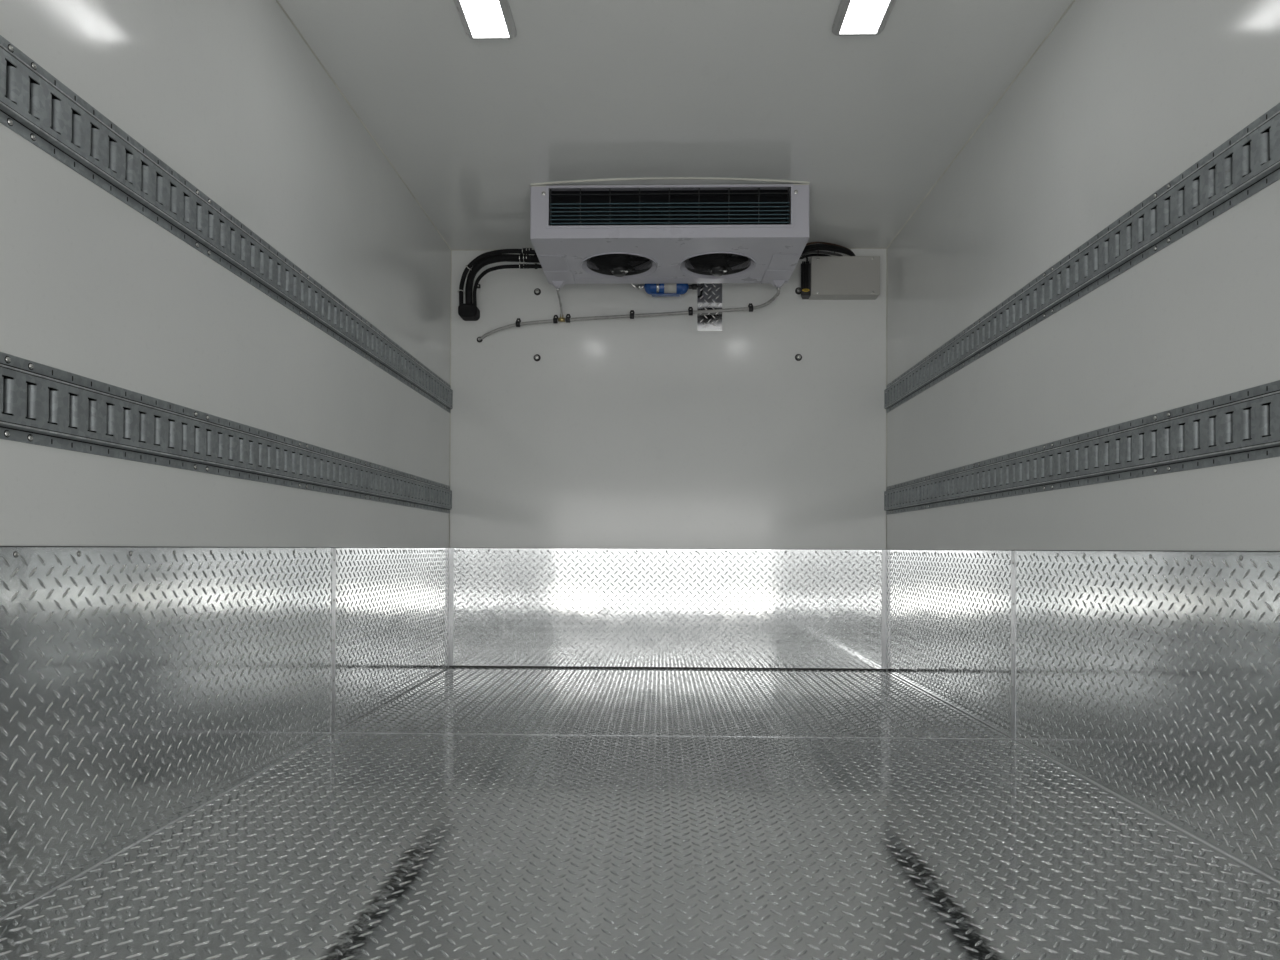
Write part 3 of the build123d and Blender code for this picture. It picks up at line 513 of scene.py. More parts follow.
    def tube(self, pts, r, n=8, mat=0, closed=False, caps=True):
        pts = [Vector(p) for p in pts]
        m = len(pts)
        verts, faces = [], []
        up = None
        for i, p in enumerate(pts):
            if closed:
                t = pts[(i + 1) % m] - pts[i - 1]
            else:
                t = pts[min(i + 1, m - 1)] - pts[max(i - 1, 0)]
            t.normalize()
            if up is None:
                up = t.orthogonal().normalized()
            up = (up - t * up.dot(t)).normalized()
            side = t.cross(up)
            for k in range(n):
                a = 2 * math.pi * k / n
                verts.append(p + up * (r * math.cos(a)) + side * (r * math.sin(a)))
        rows = m if closed else m - 1
        for i in range(rows):
            j = (i + 1) % m
            for k in range(n):
                k2 = (k + 1) % n
                faces.append((i * n + k, j * n + k, j * n + k2, i * n + k2)[::-1])
        if caps and not closed:
            faces.append(tuple(range(n)))
            faces.append(tuple(range((m - 1) * n, m * n))[::-1])
        self.add(verts, faces, mat)

    def ring(self, p, axis, big, small, n=40, m=8, mat=0, turn=0.0, arc=2 * math.pi):
        x, y, z = self.basis(axis)
        p = Vector(p)
        full = abs(arc - 2 * math.pi) < 1e-6
        count = n if full else n + 1
        pts = [p + x * (big * math.cos(turn + arc * k / n)) + y * (big * math.sin(turn + arc * k / n)) for k in range(count)]
        self.tube(pts, small, m, mat, closed=full)

    def build(self):
        me = bpy.data.meshes.new(self.name)
        if self.place:
            self.v = [self.place(p) for p in self.v]
        if self.mirrored:
            self.f = [f[::-1] for f in self.f]
        me.from_pydata([tuple(p) for p in self.v], [], self.f)
        for m in self.mats:
            me.materials.append(M[m])
        me.polygons.foreach_set("material_index", self.m)
        me.polygons.foreach_set("use_smooth", self.s)
        me.update()
        o = bpy.data.objects.new(self.name, me)
        bpy.context.scene.collection.objects.link(o)
        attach(o, self.body)
        return o


# ---------------------------------------------------------------- tread pattern
LATTICE = 0.0402          # like lugs repeat at this pitch both ways
LUG_L, LUG_W, LUG_H = 0.0290, 0.0066, 0.0024


def lug_shape():
    """Long pointed oval with a round back, about +X: foot line, shoulder line and ridge."""
    a, w = LUG_L / 2, LUG_W / 2
    foot = [(a, 0), (a * 0.55, w * 0.80), (0, w), (-a * 0.55, w * 0.80), (-a, 0), (-a * 0.55, -w * 0.80), (0, -w), (a * 0.55, -w * 0.80)]
    shoulder = [(a * 0.52, w * 0.50), (0, w * 0.62), (-a * 0.52, w * 0.50), (-a * 0.52, -w * 0.50), (0, -w * 0.62), (a * 0.52, -w * 0.50)]
    ridge = [(a * 0.60, 0), (0, 0), (-a * 0.60, 0)]
    verts = [(x, y, -0.0001) for x, y in foot] + [(x, y, LUG_H * 0.74) for x, y in shoulder] + [(x, y, LUG_H) for x, y in ridge]
    half = [(0, 1, 8), (1, 2, 9), (1, 9, 8), (2, 3, 10), (2, 10, 9), (3, 4, 10), (0, 8, 14), (8, 9, 15), (8, 15, 14), (9, 10, 16), (9, 16, 15), (10, 4, 16)]
    other = {0: 0, 1: 7, 2: 6, 3: 5, 4: 4, 8: 13, 9: 12, 10: 11, 14: 14, 15: 15, 16: 16}
    faces = half + [(other[i], other[k], other[j]) for i, j, k in half]
    return np.array(verts), np.array(faces)


def lug_field(name, origin, u, v, ulen, vlen, phase=(0.0, 0.0), margin=0.0105, keep_out=None, mat="tread_lugs"):
    """Lugs over a rectangle: origin corner, unit directions u and v, u cross v points off the plate."""
    origin, u, v = (np.array(a, float) for a in (origin, u, v))
    w = np.cross(u, v)
    centres, turns = [], []
    for kind, (du, dv, turn) in enumerate(((0.0, 0.0, 45.0), (0.5, 0.5, -45.0))):
        nu = int(ulen / LATTICE) + 2
        nv = int(vlen / LATTICE) + 2
        uu, vv = np.meshgrid((np.arange(-1, nu) + du + phase[0]) * LATTICE, (np.arange(-1, nv) + dv + phase[1]) * LATTICE)
        c = np.stack([uu.ravel(), vv.ravel()], 1)
        ok = (c[:, 0] > margin) & (c[:, 0] < ulen - margin) & (c[:, 1] > margin) & (c[:, 1] < vlen - margin)
        c = c[ok]
        if keep_out is not None:
            c = c[~keep_out(c)]
        centres.append(c)
        turns.append(np.full(len(c), math.radians(turn)))
    c, t = np.concatenate(centres), np.concatenate(turns)
    verts, faces = lug_shape()
    cos, sin = np.cos(t)[:, None], np.sin(t)[:, None]
    lx, ly, lz = verts[:, 0][None], verts[:, 1][None], verts[:, 2][None]
    pu = c[:, :1] + lx * cos - ly * sin
    pv = c[:, 1:] + lx * sin + ly * cos
    pw = np.broadcast_to(lz, pu.shape)
    pts = origin + pu[..., None] * u + pv[..., None] * v + pw[..., None] * w
    pts = pts.reshape(-1, 3)
    f = (faces[None] + (np.arange(len(c)) * len(verts))[:, None, None]).reshape(-1, 3)
    me = bpy.data.meshes.new(name)
    me.vertices.add(len(pts))
    me.vertices.foreach_set("co", pts.astype(np.float32).ravel())
    me.loops.add(len(f) * 3)
    me.loops.foreach_set("vertex_index", f.astype(np.int32).ravel())
    me.polygons.add(len(f))
    me.polygons.foreach_set("loop_start", np.arange(0, len(f) * 3, 3, dtype=np.int32))
    me.polygons.foreach_set("use_smooth", np.ones(len(f), bool))
    me.materials.append(M[mat])
    me.update(calc_edges=True)
    me.validate()
    o = bpy.data.objects.new(name, me)
    bpy.context.scene.collection.objects.link(o)
    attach(o, BODY)
    return o


KX = HALF - 0.003                     # faces of the side lining
KY = FW - 0.003                       # face of the front lining
lug_field("floor_lugs_front", (-KX, SHEET_Y + 0.0005, FL), (1, 0, 0), (0, 1, 0), 2 * KX, KY - SHEET_Y, (0.3, 0.1))
lug_field("floor_lugs_rear", (-KX, REAR + 0.02, FL), (1, 0, 0), (0, 1, 0), 2 * KX, SHEET_Y - REAR - 0.02, (0.3, 0.4))
lug_field("front_kick_lugs", (-KX, KY, FL), (1, 0, 0), (0, 0, 1), 2 * KX, KICK_H, (0.3, 0.2))
lug_field("left_kick_lugs_front", (-KX, SHEET_Y, FL), (0, 1, 0), (0, 0, 1), KY - SHEET_Y, KICK_H, (0.2, 0.35))
lug_field("left_kick_lugs_rear", (-KX, PANEL_Y0, FL), (0, 1, 0), (0, 0, 1), SHEET_Y - PANEL_Y0, KICK_H, (0.7, 0.15))
lug_field("right_kick_lugs_front", (KX, KY, FL), (0, -1, 0), (0, 0, 1), KY - SHEET_Y, KICK_H, (0.2, 0.25))
lug_field("right_kick_lugs_rear", (KX, SHEET_Y, FL), (0, -1, 0), (0, 0, 1), SHEET_Y - PANEL_Y0, KICK_H, (0.7, 0.15))
# these lugs are in the lighter copy of the metal, a painted highlight
lug_field("cover_strip_lugs", (0.153, FW - 0.004, FL + 1.728), (1, 0, 0), (0, 0, 1), 0.126, 0.40, (0.55, 0.3), margin=0.013, mat="strip_lugs")

# ---------------------------------------------------------------- lining trims
k = Kit("lining_trims", ["mill_aluminium_up", "sealant_and_shade_grey", "mill_aluminium", "zinc_screw"], slot="mill_aluminium")
for s in (-1, 1):
    # flat bar over the seam of the side lining
    x0, x1 = sorted((s * (KX - 0.0022), s * KX))
    k.box((x0, SHEET_Y - 0.015, FL + 0.002), (x1, SHEET_Y + 0.015, FL + KICK_H - 0.001), 0, 0.0006)
    for i in range(5):
        z = FL + 0.04 + i * (KICK_H - 0.08) / 4
        k.dome((s * (KX - 0.0022), SHEET_Y, z), (-s, 0, 0), 0.0042, 0.0022, 10, 3)
    # angle in the front corner
    x0, x1 = sorted((s * (KX - 0.022), s * KX))
    k.box((x0, KY - 0.0022, FL + 0.004), (x1, KY, FL + KICK_H - 0.001), 0, 0.0006)
    x0, x1 = sorted((s * (KX - 0.0022), s * KX))
    k.box((x0, KY - 0.022, FL + 0.004), (x1, KY - 0.0022, FL + KICK_H - 0.001), 0, 0.0006)
    # weld along the foot of the side lining
    x = s * KX
    k.tube([(x, PANEL_Y0 + 0.01, FL + 0.001), (x, 0, FL + 0.001), (x, KY - 0.004, FL + 0.001)], 0.0028, 8, 2)
# sealant along the foot of the front lining and lap edge of the rear floor sheet
k.tube([(-KX, KY, FL + 0.002), (0, KY, FL + 0.002), (KX, KY, FL + 0.002)], 0.0075, 8, 1)
k.build()

k = Kit("lining_rivets", ["zinc_screw", "hole_and_shade_black"], slot="bright_steel")
for s in (-1, 1):
    y = PANEL_Y0 + 0.06
    while y < KY - 0.03:
        if abs(y - SHEET_Y) > 0.02:
            k.disc((s * KX, y, FL + KICK_H - 0.012), (-s, 0, 0), 0.0052, 0.0006, 12, 1)
            k.dome((s * (KX - 0.0005), y, FL + KICK_H - 0.012), (-s, 0, 0), 0.0042, 0.0020, 10, 0)
        y += 0.152
x = -KX + 0.05
while x < KX - 0.02:
    k.disc((x, KY, FL + KICK_H - 0.012), (0, -1, 0), 0.0052, 0.0006, 12, 1)
    k.dome((x, KY - 0.0005, FL + KICK_H - 0.012), (0, -1, 0), 0.0042, 0.0020, 10, 0)
    x += 0.152
# screws through the floor near its sheets' ends
for y in (SHEET_Y - 0.03, SHEET_Y + 0.05, KY - 0.06):
    x = -KX + 0.10
    while x < KX - 0.05:
        k.disc((x, y, FL), (0, 0, 1), 0.0058, 0.0010, 12, 0, 0.0004)
        x += 0.229
k.build()

# thin dark gap and sealant along the lining's top edge, and the raised lap of the rear floor sheet
k = Kit("lining_edges", ["sealant_and_shade_grey", "mill_aluminium"], slot="black_rubber")
for s in (-1, 1):
    x0, x1 = sorted((s * (KX + 0.0004), s * HALF))
    k.box((x0, PANEL_Y0 + 0.002, FL + KICK_H), (x1, KY, FL + KICK_H + 0.0022), 0, 0.0006)
k.box((-KX, KY + 0.0004, FL + KICK_H), (KX, FW, FL + KICK_H + 0.0022), 0, 0.0006)
k.box((-KX + 0.002, SHEET_Y - 0.0035, FL), (KX - 0.002, SHEET_Y + 0.0035, FL + 0.0016), 1, 0.0008)
k.build()

# ---------------------------------------------------------------- cargo tracks
def extrusion(kit, profile, place, a, b, mat=0, closed=True, sharp=35.0):
    """Profile of (u, w) points run from a to b; place(u, w, t) gives the point. Corners sharper than that stay crisp."""
    n = len(profile)
    count = n if closed else n - 1
    dirs = []
    for i in range(count):
        p, q = profile[i], profile[(i + 1) % n]
        dirs.append(math.atan2(q[1] - p[1], q[0] - p[0]))
    verts, faces = [], []
    last = None
    for i in range(count):
        p, q = profile[i], profile[(i + 1) % n]
        if last is not None:
            turn = abs((dirs[i] - dirs[i - 1] + math.pi) % (2 * math.pi) - math.pi)
        if last is None or turn > math.radians(sharp):
            verts += [place(*p, a), place(*p, b)]
            last = len(verts) - 2
        verts += [place(*q, a), place(*q, b)]
        now = len(verts) - 2
        faces.append((last, now, now + 1, last + 1))
        last = now
    kit.add(verts, faces, mat, True)
    if closed:
        for t, flip in ((a, False), (b, True)):
            ring = tuple(range(n))
            kit.add([place(*p, t) for p in profile], [ring[::-1] if flip else ring], mat, False)


TRACKS = [FL + 1.378, FL + 0.861]
PITCH, SLOT_W, SLOT_H = 0.0508, 0.0127, 0.0610
RUNS = [(22, FW - 0.0005), (60, FW - 22 * PITCH - 0.001)]
# (height from the middle, depth from the face): rail beside the slots, bead, sloping side, groove, flange
RAIL = [(0.0318, 0.0), (0.0432, 0.0), (0.0440, 0.0007), (0.0448, 0.0), (0.0458, -0.0008), (0.0472, -0.0008), (0.0482, 0.0004), (0.0490, 0.0030), (0.0500, 0.0075),
        (0.0506, 0.0104), (0.0512, 0.0119), (0.0520, 0.0119), (0.0527, 0.0106), (0.0534, 0.0103), (0.0705, 0.0103), (0.0710, 0.0108), (0.0710, 0.0130), (0.0500, 0.0130),
        (0.0470, 0.0052), (0.0460, 0.0026), (0.0318, 0.0024)]
LIP_R, LIP_END, LIP_H = 0.0090, 0.0096, 0.0283
FLAT = (PITCH - 0.0080) / 2 - LIP_R      # half of the flat between two slots' rolled edges


def lip_profile(sgn):
    """Edge of a slot, rolled in towards the wall, beside the flat between two slots."""
    outer = [(FLAT + LIP_R * math.sin(math.radians(a)), LIP_R * (1 - math.cos(math.radians(a)))) for a in (0, 12, 24, 36, 48, 60, 72, 84, 90)]
    inner = [(FLAT + (LIP_R - 0.0022) * math.sin(math.radians(a)), LIP_R - (LIP_R - 0.0022) * math.cos(math.radians(a))) for a in (90, 60, 30, 0)]
    return [(sgn * p, d) for p, d in outer + [(FLAT + LIP_R, LIP_END), (FLAT + LIP_R - 0.0022, LIP_END)] + inner]


for side, s in (("left", -1), ("right", 1)):
    k = Kit(f"cargo_tracks_{side}_formed", ["galvanised_steel", "hole_and_shade_black", "track_painted_highlight"], slot="galvanised_steel")
    fix = Kit(f"track_fixings_{side}", ["hole_and_shade_black", "zinc_screw"], slot="bright_steel")
    face = s * (HALF - 0.013)
    for z in TRACKS:
        for n, y1 in RUNS:
            y0 = y1 - n * PITCH
            for up_down in (-1, 1):
                extrusion(k, RAIL, lambda q, d, t: (face + s * d, t, z + up_down * q), y0, y1)
                # painted highlight: a bead in a lighter copy of the zinc along the edge of the face; painted shade:
                # dark strips in the groove beside it and at the foot of the slope
                k.tube([(face + s * 0.0002, y, z + up_down * 0.0465) for y in (y0 + 0.001, (y0 + y1) / 2, y1 - 0.001)], 0.0016, 8, 2)
                for d0, d1, q0, q1 in ((-0.0001, 0.0009, 0.0435, 0.0445), (0.0098, 0.0124, 0.0509, 0.0527)):
                    x0, x1 = sorted((face + s * d0, face + s * d1))
                    a, b = sorted((z + up_down * q0, z + up_down * q1))
                    k.box((x0, y0 + 0.001, a), (x1, y1 - 0.001, b), 1)
            for i in range(n + 1):
                yc = y1 - i * PITCH
                lo, hi = (-FLAT if i != n else 0.0), (FLAT if i != 0 else 0.0)
                extrusion(k, [(lo, 0.0), (hi, 0.0), (hi, 0.0022), (lo, 0.0022)], lambda p, d, t: (face + s * d, yc + p, z + t), -0.0319, 0.0319)
                for sgn, on in ((-1, i != n), (1, i != 0)):
                    if on:
                        extrusion(k, lip_profile(sgn), lambda p, d, t: (face + s * d, yc + p, z + t), -LIP_H, LIP_H)
            # painted shade: a dark strip on the wall behind the slots, where the cavity lies in shadow
            x0, x1 = sorted((face + s * 0.0122, face + s * 0.0129))
            k.box((x0, y0 + 0.002, z - 0.046), (x1, y1 - 0.002, z + 0.046), 1)
            for i in range(n):
                y = y1 - (i + 0.28) * PITCH
                for dz in (-1, 1):
                    zz = z + dz * 0.0612
                    fx = face + s * 0.0103
                    if i % 11 in (1, 2) or i == n - 1:
                        fix.disc((fx, y, zz), (-s, 0, 0), 0.0062, 0.0005, 14, 0)
                        fix.dome((fx - s * 0.0004, y, zz), (-s, 0, 0), 0.0048, 0.0030, 12, 1)
                    else:
                        ring = [(0.0017 * math.cos(a), 0.0034 * (1 if math.sin(a) > 0 else -1) * (abs(math.sin(a)) > 0.01) + 0.0015 * math.sin(a)) for a in [2 * math.pi * j / 12 for j in range(12)]]
                        fix.add([(fx - s * 0.0002, y + p, zz + q) for p, q in ring], [tuple(range(12))], 0, False)
    o = k.build()
    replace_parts(o, f"cargo_tracks_{side}")
    fix.build()

# ---------------------------------------------------------------- front wall and corner sealant
k = Kit("corner_sealant", ["sealant_white"], slot="frp_white")
for s in (-1, 1):
    k.tube([(s * (HALF - 0.001), FW - 0.001, FL + KICK_H), (s * (HALF - 0.001), FW - 0.001, FL + 1.4), (s * (HALF - 0.001), FW - 0.001, CEIL)], 0.003, 8, 0)
    k.tube([(s * (HALF - 0.001), PANEL_Y0, CEIL - 0.001), (s * (HALF - 0.001), 0, CEIL - 0.001), (s * (HALF - 0.001), FW, CEIL - 0.001)], 0.003, 8, 0)
k.tube([(-HALF, FW - 0.001, CEIL - 0.001), (0, FW - 0.001, CEIL - 0.001), (HALF, FW - 0.001, CEIL - 0.001)], 0.003, 8, 0)
k.build()

# ---------------------------------------------------------------- evaporator dress
EVX, EVY0, EVY1, EVZ0, EVZ1 = 0.588, FW - 0.765, FW - 0.163, FL + 1.921, FL + 2.146
GX, GZ0, GZ1 = 0.509, FL + 1.975, FL + 2.134
k = Kit("evaporator_screws", ["zinc_screw", "hole_and_shade_black"], slot="bright_steel")
for s in (-1, 1):
    k.disc((s * 0.531, EVY0, FL + 2.112), (0, -1, 0), 0.0085, 0.0012, 16, 0, 0.0004)
    k.dome((s * 0.531, EVY0 - 0.0010, FL + 2.112), (0, -1, 0), 0.0058, 0.0030, 14, 0)
    for y in (EVY0 + 0.05, EVY0 + 0.30, EVY1 - 0.05):
        for z in (EVZ0 + 0.03, EVZ1 - 0.03):
            k.dome((s * EVX, y, z), (s, 0, 0), 0.0055, 0.003, 12, 0)
k.build()

k = Kit("evaporator_trims", ["evaporator_white", "sealant_white", "hole_and_shade_black"], slot="evaporator_white")
# raised border of the air outlet, side gussets under the cover, lid lines
t = 0.0035
k.box((-GX - 0.012, EVY0 - t, GZ0 - 0.012), (GX + 0.012, EVY0, GZ0 - 0.001), 0, 0.0012)
k.box((-GX - 0.012, EVY0 - t, GZ1 + 0.001), (GX + 0.012, EVY0, GZ1 + 0.010), 0, 0.0012)
k.box((-EVX + 0.002, EVY0 - 0.0016, EVZ1 - 0.0052), (EVX - 0.002, EVY0, EVZ1 - 0.0006), 1, 0.0008)
for s in (-1, 1):
    x0, x1 = sorted((s * (GX + 0.001), s * (GX + 0.012)))
    k.box((x0, EVY0 - t, GZ0 - 0.001), (x1, EVY0, GZ1 + 0.001), 0, 0.0006)
    # side trays under the ends, with a lapped seam across
    x0, x1 = sorted((s * 0.462, s * 0.578))
    k.box((x0, EVY0 + 0.20, EVZ0 - 0.0025), (x1, EVY1 - 0.012, EVZ0), 0, 0.001)
    x0, x1 = sorted((s * 0.455, s * 0.582))
    k.box((x0, EVY1 - 0.20, EVZ0 - 0.0045), (x1, EVY1 - 0.006, EVZ0 - 0.002), 0, 0.001)
    # dark joint between the cover and its end
    x0, x1 = sorted((s * 0.5872, s * 0.5884))
    k.box((x0, EVY0 + 0.012, EVZ0 + 0.010), (x1, EVY1 - 0.012, EVZ0 + 0.0115), 2)
k.box((-0.452, EVY1 - 0.090, EVZ0 - 0.0020), (0.452, EVY1 - 0.004, EVZ0), 0, 0.0008)
# bead of sealant on the ceiling, bowed out before the cover
pts = [(0.585 * t, EVY0 - 0.003 - 0.050 * (1 - t * t), CEIL - 0.0012) for t in [i / 12 for i in range(-12, 13)]]
k.tube(pts, 0.0055, 8, 1)
k.build()

k = Kit("grille_slat_edges", ["slat_teal"], slot="black_plastic")
for level in (2.068, 2.0515, 2.035, 2.0185, 2.002, 1.9855):
    z = FL + level
    hgt = 0.0023
    k.box((-GX + 0.005, EVY0 + 0.0022, z - hgt), (GX - 0.005, EVY0 + 0.0052, z + hgt), 0, 0.0006)
k.build()

k = Kit("evaporator_guards", ["guard_black", "silver_band", "black_plastic"], slot="black_plastic")
for s in (-1, 1):
    c = Vector((s * 0.227, FW - 0.420, EVZ0))
    # close wires in a basket that hangs lowest at the motor
    def hang(r):
        return 0.004 - 0.026 * (1 - (r / 0.149) ** 2)
    for i in range(21):
        r = 0.032 + i * 0.00585
        k.ring(c + Vector((0, 0, hang(r))), (0, 0, 1), r, 0.0014, 44, 5, 0)
    for i in range(8):
        a = math.radians(22.5 + 45 * i)
        d = Vector((math.cos(a), math.sin(a), 0))
        k.tube([c + d * r + Vector((0, 0, hang(r) + 0.0026)) for r in (0.026, 0.055, 0.085, 0.115, 0.1485)], 0.0018, 6, 0)
    k.lathe(c + Vector((0, 0, -0.012)), (0, 0, -1), [(0.040, 0), (0.041, 0.010), (0.037, 0.018), (0.029, 0.0205), (0.027, 0.0290), (0.022, 0.0320), (0, 0.0320)], 28, 2)
    k.box(c + Vector((0.004, -0.030, -0.0340)), c + Vector((0.040, -0.008, -0.0318)), 1, 0.0006)
    for i in range(3):
        a = math.radians(90 + 120 * i)
        k.dome(c + Vector((0.034 * math.cos(a), 0.034 * math.sin(a), -0.0310)), (0, 0, -1), 0.0036, 0.0022, 10, 1)
k.build()

# ---------------------------------------------------------------- hoses, drain, drier and control box dress
k = Kit("hose_fittings", ["silver_band", "brass", "tie_white", "black_plastic", "hose_foam"], slot="bright_steel")


def fitting(y, z, r, x_hose):
    """Crimped hose end: black sleeve with three bands, ferrule and nut, from the hose's end towards the unit."""
    d = (1, 0, 0)
    p = at(x_hose, y, z)

    def turned_ring(x, rows, mat, n=24, smooth=True):
        k.lathe(p + Vector((x, 0, 0)), d, rows, n, mat, smooth)

    turned_ring(0.0, [(r - 0.001, 0), (r + 0.0020, 0.0008), (r + 0.0020, 0.0465), (r * 0.8, 0.0475)], 4)
    for x in (0.0, 0.020, 0.034):
        turned_ring(x, [(r + 0.0010, 0), (r + 0.0036, 0.0003), (r + 0.0042, 0.0010), (r + 0.0042, 0.0036), (r + 0.0036, 0.0043), (r + 0.0010, 0.0046)], 0)
    turned_ring(0.0470, [(r * 0.8, 0), (r + 0.0010, 0.0002), (r + 0.0017, 0.0010), (r + 0.0017, 0.0226), (r + 0.0010, 0.0238), (r * 0.7, 0.0242)], 0)
    turned_ring(0.0700, [(r * 0.75, 0), (r * 0.75, 0.0050)], 4, 20)
    turned_ring(0.0740, [(r * 0.6, 0), (r + 0.0032, 0.0002), (r + 0.0045, 0.0014), (r + 0.0045, 0.0126), (r + 0.0032, 0.0138), (r * 0.6, 0.0140)], 4, 6, False)
    turned_ring(0.0880, [(r * 0.5, 0), (r + 0.0012, 0.0005), (r + 0.0012, 0.0095), (r * 0.5, 0.0100)], 0, 20)


for y, z, r, x in ((-216, 2066, 0.0112, -712), (-180, 2044, 0.0182, -731), (-206, 1994, 0.0092, -727)):
    fitting(y, z, r, x)
# ties round the bundle
for centre, normal, rx, rz in ((at(-990, -156, 2006), (1, -0.35, 1.0), 0.016, 0.016), (at(-1041, -92, 1904), (0.1, 0.3, 1), 0.0165, 0.0165)):
    x, y, z = Kit.basis(normal)
    pts = [Vector(centre) + x * (rx * math.cos(2 * math.pi * i / 24)) + y * (rz * math.sin(2 * math.pi * i / 24)) for i in range(24)]
    k.tube(pts, 0.0024, 6, 2, closed=True)
# clip on the wall beside the bundle
c = at(-973, -8, 1960)
k.box(c + Vector((-0.010, -0.004, -0.010)), c + Vector((0.010, 0.008, 0.010)), 3, 0.002)
k.dome(c + Vector((0, -0.004, 0)), (0, -1, 0), 0.0050, 0.003, 12, 0)
# wall screws of the drain's clips
for x, z in ((-765, 1760.5), (-573, 1778), (-509, 1782.5), (-181, 1800.8), (118, 1817.6), (424, 1834.2)):
    y = -20 if x < 400 else -26
    k.lathe(at(x - 11, y, z), (1, 0, 0), [(0.0100, 0), (0.0146, 0.0012), (0.0146, 0.0208), (0.0100, 0.0220)], 20, 3)
    k.lathe(at(x, 0, z + 21), (0, -1, 0), [(0.0125, 0), (0.0120, 0.0050), (0.0100, 0.0066), (0, 0.0066)], 20, 3)
    k.dome(at(x, -6.4, z + 21), (0, -1, 0), 0.0052, 0.003, 12, 0)
# tee in the drain
t0 = at(-541, -20, 1783)
k.lathe(t0 + Vector((-0.018, 0, -0.001)), (1, 0, 0), [(0.008, 0), (0.0105, 0), (0.0105, 0.036), (0.008, 0.036)], 16, 1)
k.lathe(t0 + Vector((0, 0, 0.004)), (0, 0, 1), [(0.005, 0), (0.0085, 0), (0.0085, 0.020), (0.0065, 0.022), (0.005, 0.022)], 16, 1)
# bands where the drain leaves its trays
for s in (-1, 1):
    k.lathe(at(s * 540, -187, 1889), (0, 0, -1), [(0.0070, 0), (0.0092, 0), (0.0092, 0.010), (0.0070, 0.010)], 16, 0)
k.build()

k = Kit("bolt_caps", ["zinc_screw", "sealant_and_shade_grey"], slot="bright_steel")
for x in (-669, 669):
    for z in (1592, 1932):
        k.lathe(at(x, -10.5, z), (0, -1, 0), [(0.0108, 0), (0.0108, 0.0020), (0.0092, 0.0046), (0.0055, 0.0062), (0, 0.0066)], 16, 0)
        # flat grey ring on the wall round each bolt: painted shadow outline
        k.lathe(at(x, -0.0, z), (0, -1, 0), [(0.0185, 0), (0.0180, 0.0014), (0.0162, 0.0022)], 24, 1)
k.build()

k = Kit("drain_outlet", ["black_rubber", "clear_tube"], slot="black_rubber")
k.lathe(at(-966, 0, 1686), (0, -1, 0.2), [(0.0155, 0), (0.015, 0.004), (0.0105, 0.007), (0.0080, 0.007)], 20, 0)
k.build()

# drier: spun body with domed ends on its pipe, and the two brackets that carry it
dc = at(0, -92, 1926)
k = Kit("filter_drier_formed", ["drier_blue"], slot="drier_blue")
dome = [(0.0370 * math.sin(math.radians(a)), 0.033 * (1 - math.cos(math.radians(a)))) for a in (14, 22, 31, 41, 52, 64, 77)]
profile = [(0.0080, -0.1182)] + [(r, -0.118 + h) for r, h in dome] + [(0.0370, -0.0850), (0.0376, -0.0835), (0.0376, -0.0812), (0.0370, -0.0800)]
profile += [(0.0370, 0.0660), (0.0376, 0.0672), (0.0376, 0.0695), (0.0370, 0.0710)] + [(r, 0.104 - h) for r, h in dome[::-1]] + [(0.0080, 0.1042)]
k.lathe(Vector((0, dc.y, dc.z)), (1, 0, 0), profile, 40, 0)
for x0, x1 in ((-0.150, -0.117), (0.103, 0.140)):
    k.lathe(Vector((0, dc.y, dc.z)), (1, 0, 0), [(0, x0), (0.0080, x0), (0.0080, x1), (0, x1)], 20, 0)
for x0, x1 in ((-0.080, -0.050), (0.040, 0.070)):
    k.box((x0, dc.y, dc.z + 0.030), (x1, FW, dc.z + 0.034), 0, 0.0008)
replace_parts(k.build(), "filter_drier")

k = Kit("drier_bands", ["silver_band", "brass", "black_plastic", "copper", "drier_blue", "tie_white"], slot="bright_steel")
for x, w, mat in ((-0.0495, 0.014, 0), (0.0130, 0.060, 5)):
    k.lathe(Vector((x - w / 2, dc.y, dc.z)), (1, 0, 0), [(0.0368, 0), (0.0384, 0.0004), (0.0384, w - 0.0004), (0.0368, w)], 36, mat)
for x0, x1, r, mat in ((-0.150, -0.132, 0.0125, 0), (-0.132, -0.118, 0.0100, 0), (0.104, 0.122, 0.0105, 2), (0.122, 0.146, 0.0140, 2)):
    k.lathe(Vector((x0, dc.y, dc.z)), (1, 0, 0), [(0.0078, 0), (r, 0.001), (r, x1 - x0 - 0.001), (0.0078, x1 - x0)], 20, mat)
# carrier plate under the drier, with its turned-down edge and two legs to the wall
k.box((-0.080, dc.y - 0.018, dc.z - 0.0402), (0.062, dc.y + 0.030, dc.z - 0.0380), 4, 0.0006)
k.box((-0.080, dc.y - 0.0195, dc.z - 0.0428), (0.062, dc.y - 0.0175, dc.z - 0.0384), 4, 0.0006)
for x in (-0.060, 0.042):
    k.box((x - 0.010, dc.y + 0.0290, dc.z - 0.0396), (x + 0.010, dc.y + 0.0308, dc.z - 0.0040), 4, 0.0006)
    k.box((x - 0.010, dc.y + 0.0290, dc.z - 0.0052), (x + 0.010, FW, dc.z - 0.0034), 4, 0.0006)
# pipes from the drier to the evaporator's back
k.tube([(0.145, dc.y, dc.z), (0.164, dc.y, dc.z + 0.002), (0.176, dc.y - 0.008, dc.z + 0.012), (0.180, dc.y - 0.02, dc.z + 0.045), (0.180, dc.y - 0.03, dc.z + 0.10)], 0.006, 10, 2)
k.tube([(-0.149, dc.y, dc.z), (-0.168, dc.y, dc.z + 0.002), (-0.180, dc.y - 0.008, dc.z + 0.012), (-0.184, dc.y - 0.02, dc.z + 0.045), (-0.184, dc.y - 0.03, dc.z + 0.10)], 0.006, 10, 0)
k.build()

